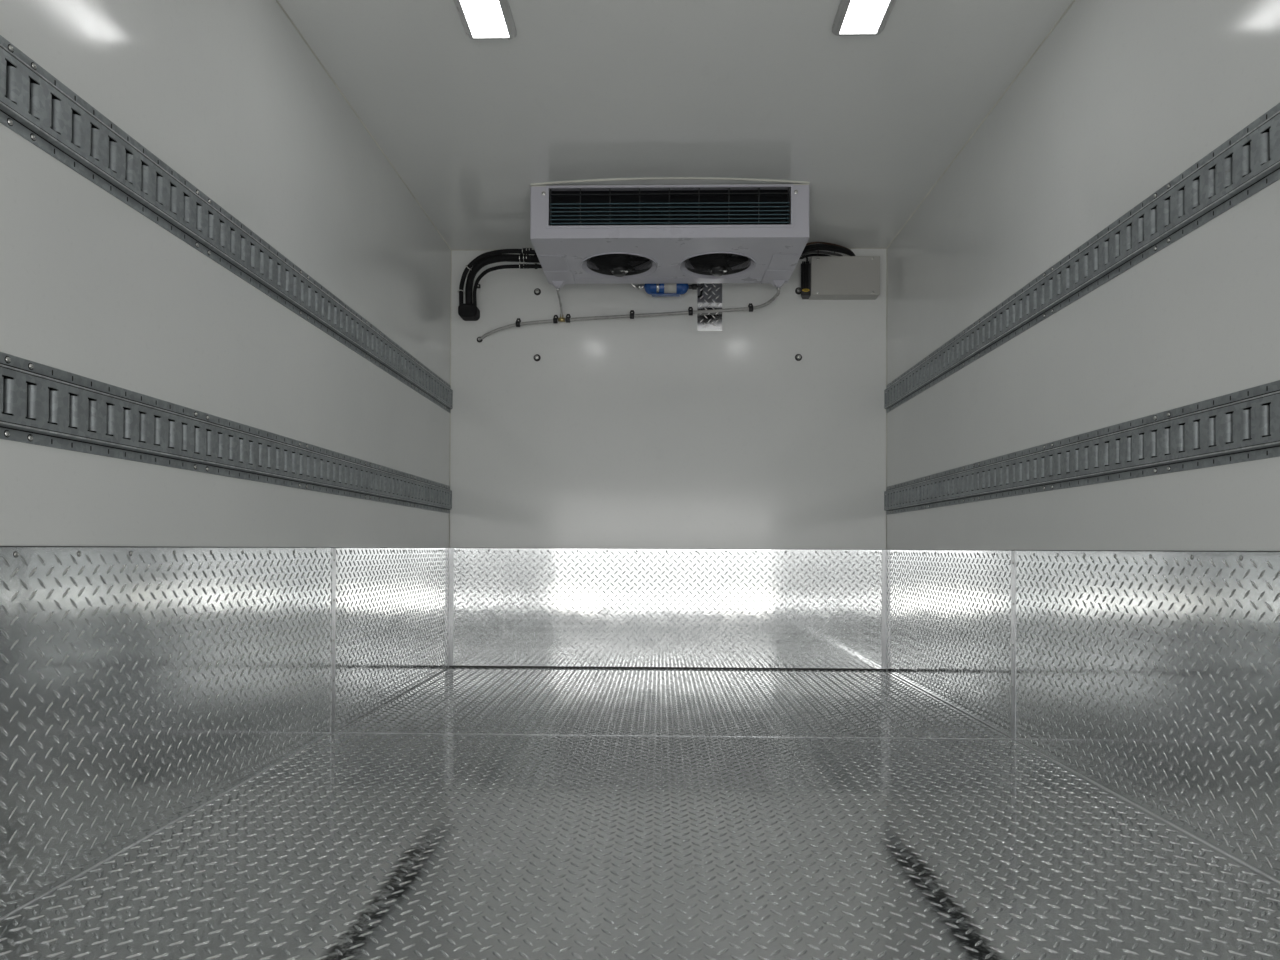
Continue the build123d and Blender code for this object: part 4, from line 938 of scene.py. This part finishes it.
BX0, BX1, BZ0, BZ1, BD = 0.718, 1.061, FL + 1.886, FL + 2.081, 0.080
k = Kit("control_box_lid", ["box_grey", "zinc_screw", "sealant_and_shade_grey", "yellow_plastic", "black_plastic", "hose_foam"], slot="box_grey")
yl = FW - BD
k.box((BX0 + 0.004, yl - 0.0010, BZ0 + 0.004), (BX1 - 0.004, yl, BZ1 - 0.004), 2)
k.box((BX0 + 0.001, yl - 0.0035, BZ0 + 0.001), (BX1 - 0.001, yl - 0.0008, BZ1 - 0.001), 0, 0.0012)
for x in (BX0 + 0.033, BX1 - 0.037):
    for z in (BZ0 + 0.012, BZ1 - 0.013):
        k.disc((x, yl - 0.0035, z), (0, -1, 0), 0.0066, 0.0008, 14, 1, 0.0003)
        k.dome((x, yl - 0.0042, z), (0, -1, 0), 0.0048, 0.0024, 14, 1)
# side block: leads laid up and down in its grooves, a yellow grommet under them
for i in range(4):
    x = 0.677 + i * 0.009
    k.tube([at(x * 1000, -58, 1900), at(x * 1000, -66, 1928), at(x * 1000, -67, 1985), at(x * 1000, -66, 2040), at(x * 1000 + 4, -56, 2062)], 0.0040, 8, 5)
g0 = at(693, -64, 1914)
pts = [g0 + Vector((0.0165 * math.cos(2 * math.pi * i / 24), -0.002 - 0.005 * (1 - math.sin(2 * math.pi * i / 24)), 0.0062 * math.sin(2 * math.pi * i / 24))) for i in range(24)]
k.tube(pts, 0.0028, 8, 3, closed=True)
k.lathe(g0 + Vector((0, 0.002, 0)), (0, -1, 0), [(0.0135, 0), (0.012, 0.005), (0.007, 0.006), (0.006, 0.002), (0, 0.002)], 20, 4)
k.build()

# leads beside the main cable, from the evaporator's end over the top of the control box
k = Kit("control_leads", ["hose_foam", "copper", "sealant_and_shade_grey", "tie_white"], slot="black_rubber")


def smooth_path(points, steps=6):
    """Catmull-Rom line through the points."""
    out = []
    n = len(points)
    for i in range(n - 1):
        p0, p1, p2, p3 = points[max(i - 1, 0)], points[i], points[i + 1], points[min(i + 2, n - 1)]
        for j in range(steps):
            t = j / steps
            out.append(0.5 * ((2 * p1) + (p2 - p0) * t + (2 * p0 - 5 * p1 + 4 * p2 - p3) * t * t + (3 * p1 - p0 - 3 * p2 + p3) * t ** 3))
    out.append(points[-1])
    return out


LEADS = [    # radius, material, points from the front wall and the floor
    (0.0070, 0, [(588, -236, 2036), (640, -232, 2044), (690, -204, 2068), (748, -166, 2088), (816, -124, 2097), (880, -84, 2100), (928, -58, 2092), (940, -50, 2078)]),
    (0.0045, 1, [(588, -224, 2072), (640, -226, 2078), (690, -204, 2100), (742, -168, 2117), (808, -126, 2125), (868, -90, 2124), (914, -66, 2114), (932, -52, 2096), (936, -46, 2079)]),
    (0.0060, 2, [(588, -200, 2030), (650, -180, 2052), (700, -140, 2080), (756, -96, 2096), (816, -66, 2100), (868, -50, 2096), (890, -44, 2079)]),
    (0.0060, 0, [(588, -210, 2020), (632, -190, 2034), (664, -130, 2056), (692, -80, 2082), (748, -52, 2098), (812, -38, 2096), (842, -36, 2079)]),
    (0.0050, 0, [(588, -190, 2044), (650, -150, 2062), (690, -100, 2072), (700, -66, 2062), (699, -58, 2050)]),
]
for r, mat, pts in LEADS:
    k.tube(smooth_path([at(*p) for p in pts]), r, 10, mat)
for i in (0.32, 0.62):      # ties round the leads
    c = at(640 + 300 * i, -214 + 150 * i, 2062 + 70 * i)
    k.tube([c + Vector((0.004 * math.cos(2 * math.pi * j / 20), 0.017 * math.cos(2 * math.pi * j / 20), 0.024 * math.sin(2 * math.pi * j / 20) - 0.004)) for j in range(20)], 0.0014, 6, 0, closed=True)
k.build()

# ---------------------------------------------------------------- ceiling lamps
LC = FW - 1.788 - 0.2285
k = Kit("ceiling_light_screws", ["zinc_screw", "light_frame"], slot="light_frame")
for s in (-1, 1):
    for dy in (-0.2175, 0.2175):
        for dx in (-0.05, 0.05):
            k.dome((s * 0.541 + dx, LC + dy, CEIL - 0.0185 + 0.0015), (0, 0, -1), 0.0045, 0.0025, 12, 0)
    # inner lip of the bezel
    for a, b in (((-0.0565, -0.2095), (0.0565, -0.2075)), ((-0.0565, 0.2075), (0.0565, 0.2095)), ((-0.0565, -0.2075), (-0.0540, 0.2075)), ((0.0540, -0.2075), (0.0565, 0.2075))):
        k.box((s * 0.541 + a[0], LC + a[1], CEIL - 0.0215), (s * 0.541 + b[0], LC + b[1], CEIL - 0.0175), 1, 0.0006)
k.build()

# ---------------------------------------------------------------- outside of the body
PIN_X, PIN_Y = 1.228, REAR - 0.050
HINGE_Z = [0.500, 1.040, 1.640, 2.180]
DZ0, DZ1 = FL + 0.012, 2.328
HX = HALF - 0.012
SILL_X = 0.432


def rivets(kit, a, b, out, pitch, r=0.0052, h=0.0022, mat=0, n=8):
    """Row of round heads from a to b."""
    a, b = Vector(a), Vector(b)
    count = max(1, round((b - a).length / pitch))
    for i in range(count + 1):
        kit.dome(a.lerp(b, i / count), out, r, h, n, mat)


k = Kit("rail_rivets", ["zinc_screw"], slot="mill_aluminium")
for s in (-1, 1):
    rivets(k, (s * OUT_X, PANEL_Y0 + 0.03, 2.470), (s * OUT_X, FW - 0.03, 2.470), (s, 0, 0), 0.076)
    rivets(k, (s * OUT_X, PANEL_Y0 + 0.03, 0.276), (s * OUT_X, FW - 0.03, 0.276), (s, 0, 0), 0.076)
    rivets(k, (s * OUT_X, FW + 0.014, 0.16), (s * OUT_X, FW + 0.014, 2.500), (s, 0, 0), 0.090)
    rivets(k, (s * 1.131, NOSE + 0.003, 0.16), (s * 1.131, NOSE + 0.003, 2.500), (0, 1, 0), 0.090)
    rivets(k, (s * OUT_X, PANEL_Y0 - 0.016, 0.16), (s * OUT_X, PANEL_Y0 - 0.016, 2.500), (s, 0, 0), 0.090)
    rivets(k, (s * 1.134, PANEL_Y0 + 0.03, TOP), (s * 1.134, FW - 0.03, TOP), (0, 0, 1), 0.10)
    z = 0.16
    while z < 2.52:                 # rear face of the posts, clear of the hinges
        if all(abs(z - h) > 0.045 for h in HINGE_Z):
            k.dome((s * 1.130, REAR, z), (0, -1, 0), 0.0052, 0.0022, 8, 0)
        z += 0.090
rivets(k, (-1.09, NOSE + 0.003, 2.470), (1.09, NOSE + 0.003, 2.470), (0, 1, 0), 0.076)
rivets(k, (-1.09, NOSE + 0.003, 0.276), (1.09, NOSE + 0.003, 0.276), (0, 1, 0), 0.076)
rivets(k, (-1.09, FW + 0.016, TOP), (1.09, FW + 0.016, TOP), (0, 0, 1), 0.10)
rivets(k, (-1.09, PANEL_Y0 - 0.016, TOP), (1.09, PANEL_Y0 - 0.016, TOP), (0, 0, 1), 0.10)
rivets(k, (-1.09, REAR, 2.545), (1.09, REAR, 2.545), (0, -1, 0), 0.099)
rivets(k, (-1.09, REAR, 2.432), (1.09, REAR, 2.432), (0, -1, 0), 0.099)
k.build()

k = Kit("rail_trims", ["mill_aluminium", "sealant_and_shade_grey", "black_rubber", "bright_steel"], slot="mill_aluminium")
for s in (-1, 1):
    # drip edge, rub bead and lower hem along the sides
    for z0, z1, t, mat, bev in ((2.4545, 2.4600, 0.0042, 0, 0.0010), (0.150, 0.184, 0.0100, 0, 0.0035), (0.127, 0.1335, 0.0032, 0, 0.0010), (0.2905, 0.2935, 0.0010, 1, 0.0)):
        x0, x1 = sorted((s * (OUT_X - 0.003), s * (OUT_X + t)))
        k.box((x0, PANEL_Y0 + 0.004, z0), (x1, FW - 0.004, z1), mat, bev)
    # sealant between wall and posts
    for y in (FW - 0.0015, PANEL_Y0 + 0.0015):
        k.tube([(s * 1.2165, y, 0.30), (s * 1.2165, y, 1.4), (s * 1.2165, y, 2.45)], 0.0030, 6, 1)
    k.tube([(s * 1.1165, 2.0262, 0.30), (s * 1.1165, 2.0262, 1.4), (s * 1.1165, 2.0262, 2.45)], 0.0030, 6, 1)
    k.tube([(s * HALF, PANEL_Y0, 2.5562), (s * HALF, 0, 2.5562), (s * HALF, FW, 2.5562)], 0.0034, 6, 1)
k.box((-1.110, NOSE - 0.001, 2.4545), (1.110, NOSE + 0.0072, 2.4600), 0, 0.0010)
k.box((-1.110, NOSE - 0.001, 0.150), (1.110, NOSE + 0.0130, 0.184), 0, 0.0035)
k.tube([(-HALF, FW - 0.001, 2.5562), (0, FW - 0.001, 2.5562), (HALF, FW - 0.001, 2.5562)], 0.0034, 6, 1)
k.tube([(-HALF, PANEL_Y0, 2.5562), (0, PANEL_Y0, 2.5562), (HALF, PANEL_Y0, 2.5562)], 0.0034, 6, 1)
# gutter over the doorway and the lip of the sill
k.box((-1.100, REAR - 0.0120, 2.4060), (1.100, REAR, 2.4085), 3, 0.0008)
k.box((-1.100, REAR - 0.0138, 2.4030), (1.100, REAR - 0.0118, 2.4150), 3, 0.0008)
k.build()

k = Kit("rear_frame_dress", ["zinc_screw", "black_rubber", "hole_and_shade_black", "bright_steel"], slot="bright_steel")


def lamp_ring(kit, cx, cz, w, h, place, r=0.0032, mat=1):
    """Rubber grommet round an oblong lamp; place(u, v) gives a point of its face."""
    rad = h / 2
    pts = []
    for sx, a0 in ((1, -90), (-1, 90)):
        for i in range(9):
            a = math.radians(a0 + 22.5 * i)
            pts.append(place(cx + sx * (w / 2 - rad) + rad * math.cos(a), cz + rad * math.sin(a)))
    kit.tube(pts, r, 6, mat, closed=True)


for x, z, w, h in ((0.905, 0.226, 0.160, 0.060), (0.470, 0.226, 0.160, 0.060), (1.060, 2.500, 0.100, 0.032), (0.150, 2.500, 0.100, 0.032)):
    for s in (-1, 1):
        lamp_ring(k, s * x, z, w + 0.006, h + 0.006, lambda u, v: (u, REAR - 0.0015, v))
        for e in (-1, 1):
            k.dome((s * x + e * (w / 2 + 0.014), REAR, z), (0, -1, 0), 0.0045, 0.0025, 10, 0)
lamp_ring(k, 0, 2.500, 0.106, 0.038, lambda u, v: (u, REAR - 0.0015, v))
for s in (-1, 1):
    for y in (REAR + 0.260, FW - 0.150):
        lamp_ring(k, y, 0.230, 0.104, 0.036, lambda u, v: (s * (OUT_X + 0.0012), u, v), 0.0026)
    # bumper ribs and bolts
    for i in range(3):
        z = 0.163 + i * 0.0495
        k.box((s * 0.690 - 0.058, REAR - 0.0680, z), (s * 0.690 + 0.058, REAR - 0.0640, z + 0.022), 1, 0.0028)
    for e in (-1, 1):
        k.disc((s * 0.690 + e * 0.066, REAR - 0.0640, 0.2125), (0, -1, 0), 0.0078, 0.0012, 16, 2)
        k.hexhead((s * 0.690 + e * 0.066, REAR - 0.0650, 0.2125), (0, -1, 0), 0.0055, 0.0030, 0)
    # keeper and hinge bolts
    for z0, z1 in ((0.258, 0.304), (2.342, 2.388)):
        for e in (-1, 1):
            for z in (z0 + 0.012, z1 - 0.012):
                k.hexhead((s * (0.120 + e * 0.047), REAR - 0.005, z), (0, -1, 0), 0.0052, 0.0034, 0)
    for hz in HINGE_Z:
        for e in (-1, 1):
            for x in (1.166, 1.196):
                k.hexhead((s * x, REAR - 0.008, hz + e * 0.062), (0, -1, 0), 0.0070, 0.0044, 0)
        k.dome((s * PIN_X, PIN_Y, hz + 0.045), (0, 0, 1), 0.0086, 0.0052, 16, 0)
    # hold-back plate bolts and rubber tip
    for z in (1.378, 1.442):
        for e in (-1, 1):
            k.hexhead((s * (OUT_X + 0.006), REAR + 1.200 + e * 0.020, z), (s, 0, 0), 0.0050, 0.0034, 0)
k.build()

# doors: edge frames, scuff plate, bolts; given with the door closed on the right, then swung open and mirrored
for side, s in (("left", -1), ("right", 1)):
    def swung(p, s=s):
        dx, dy = p[0] - PIN_X, p[1] - PIN_Y
        return (s * (PIN_X + dy), PIN_Y - dx, p[2])

    k = Kit(f"{side}_door_dress", ["mill_aluminium_up", "zinc_screw", "tread_aluminium", "black_plastic"], body=f"{side}_door", slot="mill_aluminium")
    k.place, k.mirrored = swung, s < 0
    for y0, y1, out, xm in ((REAR + 0.0900, REAR + 0.0915, 1, 0.0155), (REAR - 0.0015, REAR, -1, 0.0085)):
        w = 0.045
        k.box((HX - w, y0, DZ0 + 0.002), (HX - 0.002, y1, DZ1 - 0.002), 0, 0.0005)
        k.box((xm, y0, DZ0 + 0.002), (xm + w, y1, DZ1 - 0.002), 0, 0.0005)
        k.box((xm + w, y0, DZ0 + 0.002), (HX - w, y1, DZ0 + w), 0, 0.0005)
        k.box((xm + w, y0, DZ1 - w), (HX - w, y1, DZ1 - 0.002), 0, 0.0005)
        yf = y1 if out > 0 else y0
        for x in (HX - w / 2, xm + w / 2):
            rivets(k, (x, yf, DZ0 + 0.03), (x, yf, DZ1 - 0.03), (0, out, 0), 0.100, 0.0048, 0.0016, 1)
        for z in (DZ0 + w / 2, DZ1 - w / 2):
            rivets(k, (xm + 0.12, yf, z), (HX - 0.12, yf, z), (0, out, 0), 0.100, 0.0048, 0.0016, 1)
    ys = REAR + 0.0912
    k.box((0.072, REAR + 0.0900, DZ0 + 0.060), (HX - 0.060, ys, DZ0 + 0.420), 2, 0.0005)
    rivets(k, (0.085, ys, DZ0 + 0.408), (HX - 0.073, ys, DZ0 + 0.408), (0, 1, 0), 0.120, 0.0044, 0.0014, 1)
    rivets(k, (0.085, ys, DZ0 + 0.072), (HX - 0.073, ys, DZ0 + 0.072), (0, 1, 0), 0.120, 0.0044, 0.0014, 1)
    for hz in HINGE_Z:              # strap bolts
        for x in (0.785, 0.865, 0.945, 1.025):
            k.hexhead((x, REAR - 0.011, hz), (0, -1, 0), 0.0085, 0.0048, 1, washer=0.0120)
    for z in (DZ0 + 0.090, 0.900, 1.420, DZ1 - 0.090):      # rod guide bolts
        for e in (-1, 1):
            k.hexhead((0.120 + e * 0.032, REAR - 0.006, z), (0, -1, 0), 0.0060, 0.0040, 1)
    k.disc((0.120, REAR - 0.044, 1.210), (0, -1, 0), 0.0135, 0.0022, 20, 1, 0.0008)
    k.box((0.120 + 0.170, REAR - 0.0470, 1.1925), (0.120 + 0.296, REAR - 0.0310, 1.2275), 3, 0.0050)
    k.build()

    k = Kit(f"{side}_door_gasket_ribs", ["black_rubber"], body=f"{side}_door", slot="black_rubber")
    k.place, k.mirrored = swung, s < 0
    for d in (0.018, 0.029, 0.040):
        m = 0.006 + 0.007 * d / 0.090 - 0.003
        y = REAR + d
        k.tube([(m, y, DZ0 - 0.003), (m, y, 1.3), (m, y, DZ1 + 0.003), (0.55, y, DZ1 + 0.003), (HX + 0.003, y, DZ1 + 0.003),
                (HX + 0.003, y, 1.3), (HX + 0.003, y, DZ0 - 0.003), (0.55, y, DZ0 - 0.003)], 0.0014, 6, 0, closed=True)
    k.build()

# condenser: fan guards, lid seams, flange and bolts
CYF, CZ = 2.406, 2.095
k = Kit("condenser_guards", ["bright_steel", "zinc_screw", "black_plastic"], slot="bright_steel")
for s in (-1, 1):
    c = Vector((s * 0.330, CYF - 0.0022, CZ))
    for i in range(11):
        k.ring(c, (0, 1, 0), 0.028 + i * 0.0144, 0.0012, 48, 5, 0)
    for i in range(8):
        a = math.radians(22.5 + 45 * i)
        d = Vector((math.cos(a), 0, math.sin(a)))
        k.tube([c + d * r + Vector((0, 0.0022, 0)) for r in (0.022, 0.100, 0.183)], 0.0017, 6, 0)
    k.lathe(c + Vector((0, -0.001, 0)), (0, 1, 0), [(0.032, 0), (0.032, 0.0030), (0.026, 0.0046), (0, 0.0050)], 28, 0)
    # rolled edge of the opening
    k.ring(Vector((s * 0.330, CYF - 0.0010, CZ)), (0, 1, 0), 0.1775, 0.0026, 64, 6, 2)
k.build()

k = Kit("condenser_trims", ["evaporator_white", "sealant_and_shade_grey", "zinc_screw", "hole_and_shade_black", "bright_steel"], slot="evaporator_white")
for s in (-1, 1):
    # end covers' turned edge, in three runs that follow the outline
    run = [(2.030, 1.8495), (2.336, 1.8495), (2.4065, 1.9200), (2.4065, 2.2600), (2.316, 2.3505), (2.030, 2.3505)]
    for (ya, za), (yb, zb) in zip(run, run[1:]):
        d = Vector((0, yb - ya, zb - za)).normalized()
        nrm = Vector((0, -d.z, d.y))
        mid = Vector((0, 2.2, 2.1))
        if nrm.dot(Vector((0, ya, za)) - mid) < 0:
            nrm = -nrm
        pts = []
        for x in (s * 0.662, s * 0.700):
            for off in (-0.001, 0.0016):
                for y, z in ((ya, za), (yb, zb)):
                    pts.append(Vector((x, y, z)) + nrm * off)
        ring = [(0, 1, 3, 2), (4, 6, 7, 5), (0, 4, 5, 1), (2, 3, 7, 6), (0, 2, 6, 4), (1, 5, 7, 3)]
        k.add(pts, ring, 0, False)
    for z in (1.945, 2.095, 2.235):
        k.dome((s * 0.681, CYF + 0.0012, z), (0, 1, 0), 0.0058, 0.0028, 12, 2)
    for z in (1.90, 2.00, 2.10, 2.20, 2.30):
        k.dome((s * 0.700, NOSE + 0.030, z), (s, 0, 0), 0.0055, 0.0028, 12, 2)
    # frame round the intake slots
    zi0, zi1 = 1.85 + 0.110 - 0.012, 1.85 + 0.110 + 11 * 0.025 + 0.023
    for y0, y1, z0, z1 in ((NOSE + 0.050, NOSE + 0.220, zi0 - 0.010, zi0), (NOSE + 0.050, NOSE + 0.220, zi1, zi1 + 0.010),
                           (NOSE + 0.050, NOSE + 0.056, zi0, zi1), (NOSE + 0.214, NOSE + 0.220, zi0, zi1)):
        x0, x1 = sorted((s * 0.6995, s * 0.7025))
        k.box((x0, y0, z0), (x1, y1, z1), 0, 0.0008)
    # lip under each slot
    for i in range(12):
        z = 1.85 + 0.110 + i * 0.025
        x0, x1 = sorted((s * 0.6995, s * 0.7060))
        k.box((x0, NOSE + 0.058, z + 0.0110), (x1, NOSE + 0.212, z + 0.0128), 0, 0.0006)
# seam between the fans and across the top
k.box((-0.0008, CYF - 0.001, 1.925), (0.0008, CYF + 0.0004, 2.255), 3)
for z in (1.940, 2.250):
    for x in (-0.10, 0.10):
        k.dome((x, CYF, z), (0, 1, 0), 0.0055, 0.0028, 12, 2)
k.box((-0.655, 2.200, 2.3500), (0.655, 2.2014, 2.3504), 3)
for x in (-0.58, -0.29, 0.0, 0.29, 0.58):
    k.dome((x, 2.080, 2.350), (0, 0, 1), 0.0058, 0.0028, 12, 2)
    k.dome((x, 2.290, 2.350), (0, 0, 1), 0.0058, 0.0028, 12, 2)
# flange against the front wall, its bolts and bead
for lo, hi in (((-0.724, NOSE, 1.828), (0.724, NOSE + 0.004, 1.850)), ((-0.724, NOSE, 2.350), (0.724, NOSE + 0.004, 2.372)),
               ((-0.724, NOSE, 1.850), (-0.700, NOSE + 0.004, 2.350)), ((0.700, NOSE, 1.850), (0.724, NOSE + 0.004, 2.350))):
    k.box(lo, hi, 0, 0.0008)
for x in (-0.60, -0.36, -0.12, 0.12, 0.36, 0.60):
    for z in (1.839, 2.361):
        k.hexhead((x, NOSE + 0.004, z), (0, 1, 0), 0.0062, 0.0040, 2)
for s in (-1, 1):
    for z in (1.90, 2.03, 2.17, 2.30):
        k.hexhead((s * 0.712, NOSE + 0.004, z), (0, 1, 0), 0.0062, 0.0040, 2)
k.tube([(-0.725, NOSE + 0.0008, 1.827), (0.725, NOSE + 0.0008, 1.827), (0.725, NOSE + 0.0008, 2.373), (-0.725, NOSE + 0.0008, 2.373)], 0.0022, 6, 1, closed=True)
# flare nuts on the two pipe ends
for x, r in ((-0.560, 0.0095), (-0.500, 0.0064)):
    k.lathe((x, NOSE + 0.060, 1.850), (0, 0, -1), [(r, 0), (r + 0.0070, 0.0005), (r + 0.0070, 0.0150), (r + 0.002, 0.0190), (r, 0.0190)], 6, 4, smooth=False)
k.build()

# underframe: bolts of the mounting brackets and of the crossmember clips
k = Kit("underframe_bolts", ["zinc_screw", "frame_steel"], slot="frame_steel")
for s in (-1, 1):
    for y in (FW - 0.420, FW - 2.020, FW - 3.620):
        for dy in (-0.052, 0.052):
            for z in (0.040, 0.082):
                k.hexhead((s * (SILL_X + 0.011), y + dy, z), (s, 0, 0), 0.0095, 0.0065, 0, washer=0.0135)
                k.hexhead((s * (SILL_X - 0.003), y + dy, z), (-s, 0, 0), 0.0095, 0.0065, 0, washer=0.0135)
    for i in range(14):
        y = FW - 0.060 - i * 0.305
        # clip angle between sill and crossmember
        x0, x1 = sorted((s * (SILL_X + 0.003), s * (SILL_X + 0.055)))
        k.box((x0, y - 0.0200, 0.1200), (x1, y + 0.0195, 0.1268), 1, 0.0015)
        x0, x1 = sorted((s * (SILL_X + 0.003), s * (SILL_X + 0.009)))
        k.box((x0, y - 0.0200, 0.0700), (x1, y + 0.0195, 0.1205), 1, 0.0015)
        k.hexhead((s * (SILL_X + 0.009), y, 0.090), (s, 0, 0), 0.0080, 0.0055, 0, washer=0.0115)
        k.hexhead((s * (SILL_X + 0.036), y, 0.1200), (0, 0, -1), 0.0080, 0.0055, 0, washer=0.0115)
k.build()

# ---------------------------------------------------------------- camera
F, CY, ROLL, PITCH, YAW = 833.0, 542.44, math.radians(0.23), math.radians(0.413), math.radians(1.357)


def turned(v):
    x, y, z = v
    y, z = math.cos(PITCH) * y - math.sin(PITCH) * z, math.sin(PITCH) * y + math.cos(PITCH) * z
    return Vector((math.cos(YAW) * x - math.sin(YAW) * y, math.sin(YAW) * x + math.cos(YAW) * y, z))


right = turned((math.cos(ROLL), 0, math.sin(ROLL)))
up = turned((-math.sin(ROLL), 0, math.cos(ROLL)))
back = -turned((0, 1, 0))
cam = bpy.data.cameras.new("camera")
cam.sensor_width = 36.0
cam.lens = 36.0 * F / 1280.0
cam.shift_y = (CY - 480.0) / 1280.0
cam.clip_start = 0.02
cam.clip_end = 200.0
co = bpy.data.objects.new("camera", cam)
bpy.context.scene.collection.objects.link(co)
rot = Matrix((right, up, back)).transposed().to_4x4()
co.matrix_world = Matrix.Translation((-0.0352, -2.3354, 0.9202)) @ rot
bpy.context.scene.camera = co

# ---------------------------------------------------------------- floor and light
g = Graph("studio_floor")
tone = g.ramp(g.noise(0.35, 3, 0.5), (0.3, (0.71, 0.71, 0.705)), (0.7, (0.75, 0.75, 0.745)))
floor_mat = g.done(tone, 0.7, g.bump(g.noise(40, 2, 0.5), 0.05, 0.001))
me = bpy.data.meshes.new("studio_floor")
R = 40.0
me.from_pydata([(-R, -R, -0.0006), (R, -R, -0.0006), (R, R, -0.0006), (-R, R, -0.0006)], [], [(0, 1, 2, 3)])
me.materials.append(floor_mat)
floor = bpy.data.objects.new("studio_floor", me)
bpy.context.scene.collection.objects.link(floor)

# plain pale surround; what lights the part is brighter low and high and dimmer between
world = bpy.data.worlds.new("studio")
bpy.context.scene.world = world
world.use_nodes = True
wn = world.node_tree
wn.nodes.clear()
wo = wn.nodes.new("ShaderNodeOutputWorld")
lit = wn.nodes.new("ShaderNodeBackground")
seen = wn.nodes.new("ShaderNodeBackground")
seen.inputs[0].default_value = (0.72, 0.73, 0.74, 1)
path = wn.nodes.new("ShaderNodeLightPath")
pick = wn.nodes.new("ShaderNodeMixShader")
tc = wn.nodes.new("ShaderNodeTexCoord")
sx = wn.nodes.new("ShaderNodeSeparateXYZ")
cr = wn.nodes.new("ShaderNodeValToRGB")
wn.links.new(tc.outputs["Generated"], sx.inputs[0])
wn.links.new(sx.outputs["Z"], cr.inputs[0])
STOPS = [(0.00, 0.74), (0.12, 0.74), (0.160, 0.55), (0.200, 0.22), (0.290, 0.22), (0.340, 0.78), (0.600, 0.76), (1.0, 0.62)]
els = cr.color_ramp.elements
while len(els) < len(STOPS):
    els.new(0.5)
for e, (pos, level) in zip(els, STOPS):
    e.position = pos
    e.color = (level * 0.99, level, level * 1.005, 1)
wn.links.new(cr.outputs[0], lit.inputs[0])
wn.links.new(path.outputs["Is Camera Ray"], pick.inputs[0])
wn.links.new(lit.outputs[0], pick.inputs[1])
wn.links.new(seen.outputs[0], pick.inputs[2])
wn.links.new(pick.outputs[0], wo.inputs[0])


def area(name, place, aim, sx, sy, radiance, color=(1, 1, 1), portal=False, camera=False, diffuse=True):
    """Soft panel light of that radiance, facing aim."""
    d = bpy.data.lights.new(name, "AREA")
    d.shape = "RECTANGLE"
    d.size, d.size_y = sx, sy
    d.color = color
    d.energy = radiance * math.pi * sx * sy
    o = bpy.data.objects.new(name, d)
    bpy.context.scene.collection.objects.link(o)
    place, aim = Vector(place), Vector(aim)
    o.location = place
    o.rotation_mode = "QUATERNION"
    o.rotation_quaternion = (aim - place).to_track_quat("-Z", "Y")
    if portal:
        d.cycles.is_portal = True
    o.visible_camera = camera
    o.visible_diffuse = diffuse
    return o


area("doorway_portal", (0, REAR - 0.02, FL + 1.05), (0, 0, FL + 1.05), 2.25, 2.15, 1.0, portal=True)
# softbox behind the doorway, dim at its foot and bright at its top
inward = []
for i, (z0, z1, level) in enumerate(((0.04, 0.40, 0.75), (0.40, 0.70, 0.90), (0.70, 0.98, 1.10), (0.98, 1.22, 3.2), (1.22, 1.60, 2.7))):
    inward.append(area(f"rear_panel_{i}", (0, -5.0, (z0 + z1) / 2), (0, 0, (z0 + z1) / 2), 4.4, z1 - z0, level, (1.0, 0.99, 0.97)))
# two low panels to the sides, which the side lining mirrors
for s in (-1, 1):
    inward.append(area(f"rear_side_{'left' if s < 0 else 'right'}", (s * 1.80, -4.9, 0.21), (s * 1.80, 0, 0.21), 2.0, 0.30, 2.0, (1.0, 0.94, 0.84)))
# light thrown up from the ground behind the doorway
inward.append(area("bounce", (0, REAR - 0.95, 0.10), (0, REAR - 0.53, 1.00), 3.2, 1.2, 2.5, (1.0, 0.98, 0.96)))
# these light the inside, not the ground or the faces of the rear frame and the doors
outer = bpy.data.collections.new("lit_by_the_studio_only")
outer.objects.link(floor)
for name in ("rear_posts", "rear_header", "rear_sill", "hinge_butts", "door_keepers", "dock_bumpers", "rear_lamps"):
    outer.objects.link(NODES[name])
for name in ("rear_frame_dress", "rail_rivets"):
    outer.objects.link(bpy.data.objects[name])
for side in ("left", "right"):
    for name in (f"{side}_door_panel", f"{side}_door_gasket", f"{side}_door_straps", f"{side}_door_lock_rod"):
        outer.objects.link(NODES[name])
    for name in (f"{side}_door_dress", f"{side}_door_gasket_ribs"):
        outer.objects.link(bpy.data.objects[name])
for c in outer.collection_objects:
    c.light_linking.link_state = "EXCLUDE"
for o in inward:
    o.light_linking.receiver_collection = outer
area("key", (7.5, 6.5, 7.5), (0, 0, 1.0), 6.0, 6.0, 2.0, (1.0, 0.98, 0.95))
area("fill", (-8.5, 4.0, 6.0), (0, 0, 1.0), 6.0, 6.0, 0.8, (0.95, 0.97, 1.0))

view = bpy.context.scene.view_settings
view.view_transform = "Standard"
view.look = "None"
view.exposure = 0.0
view.gamma = 1.0
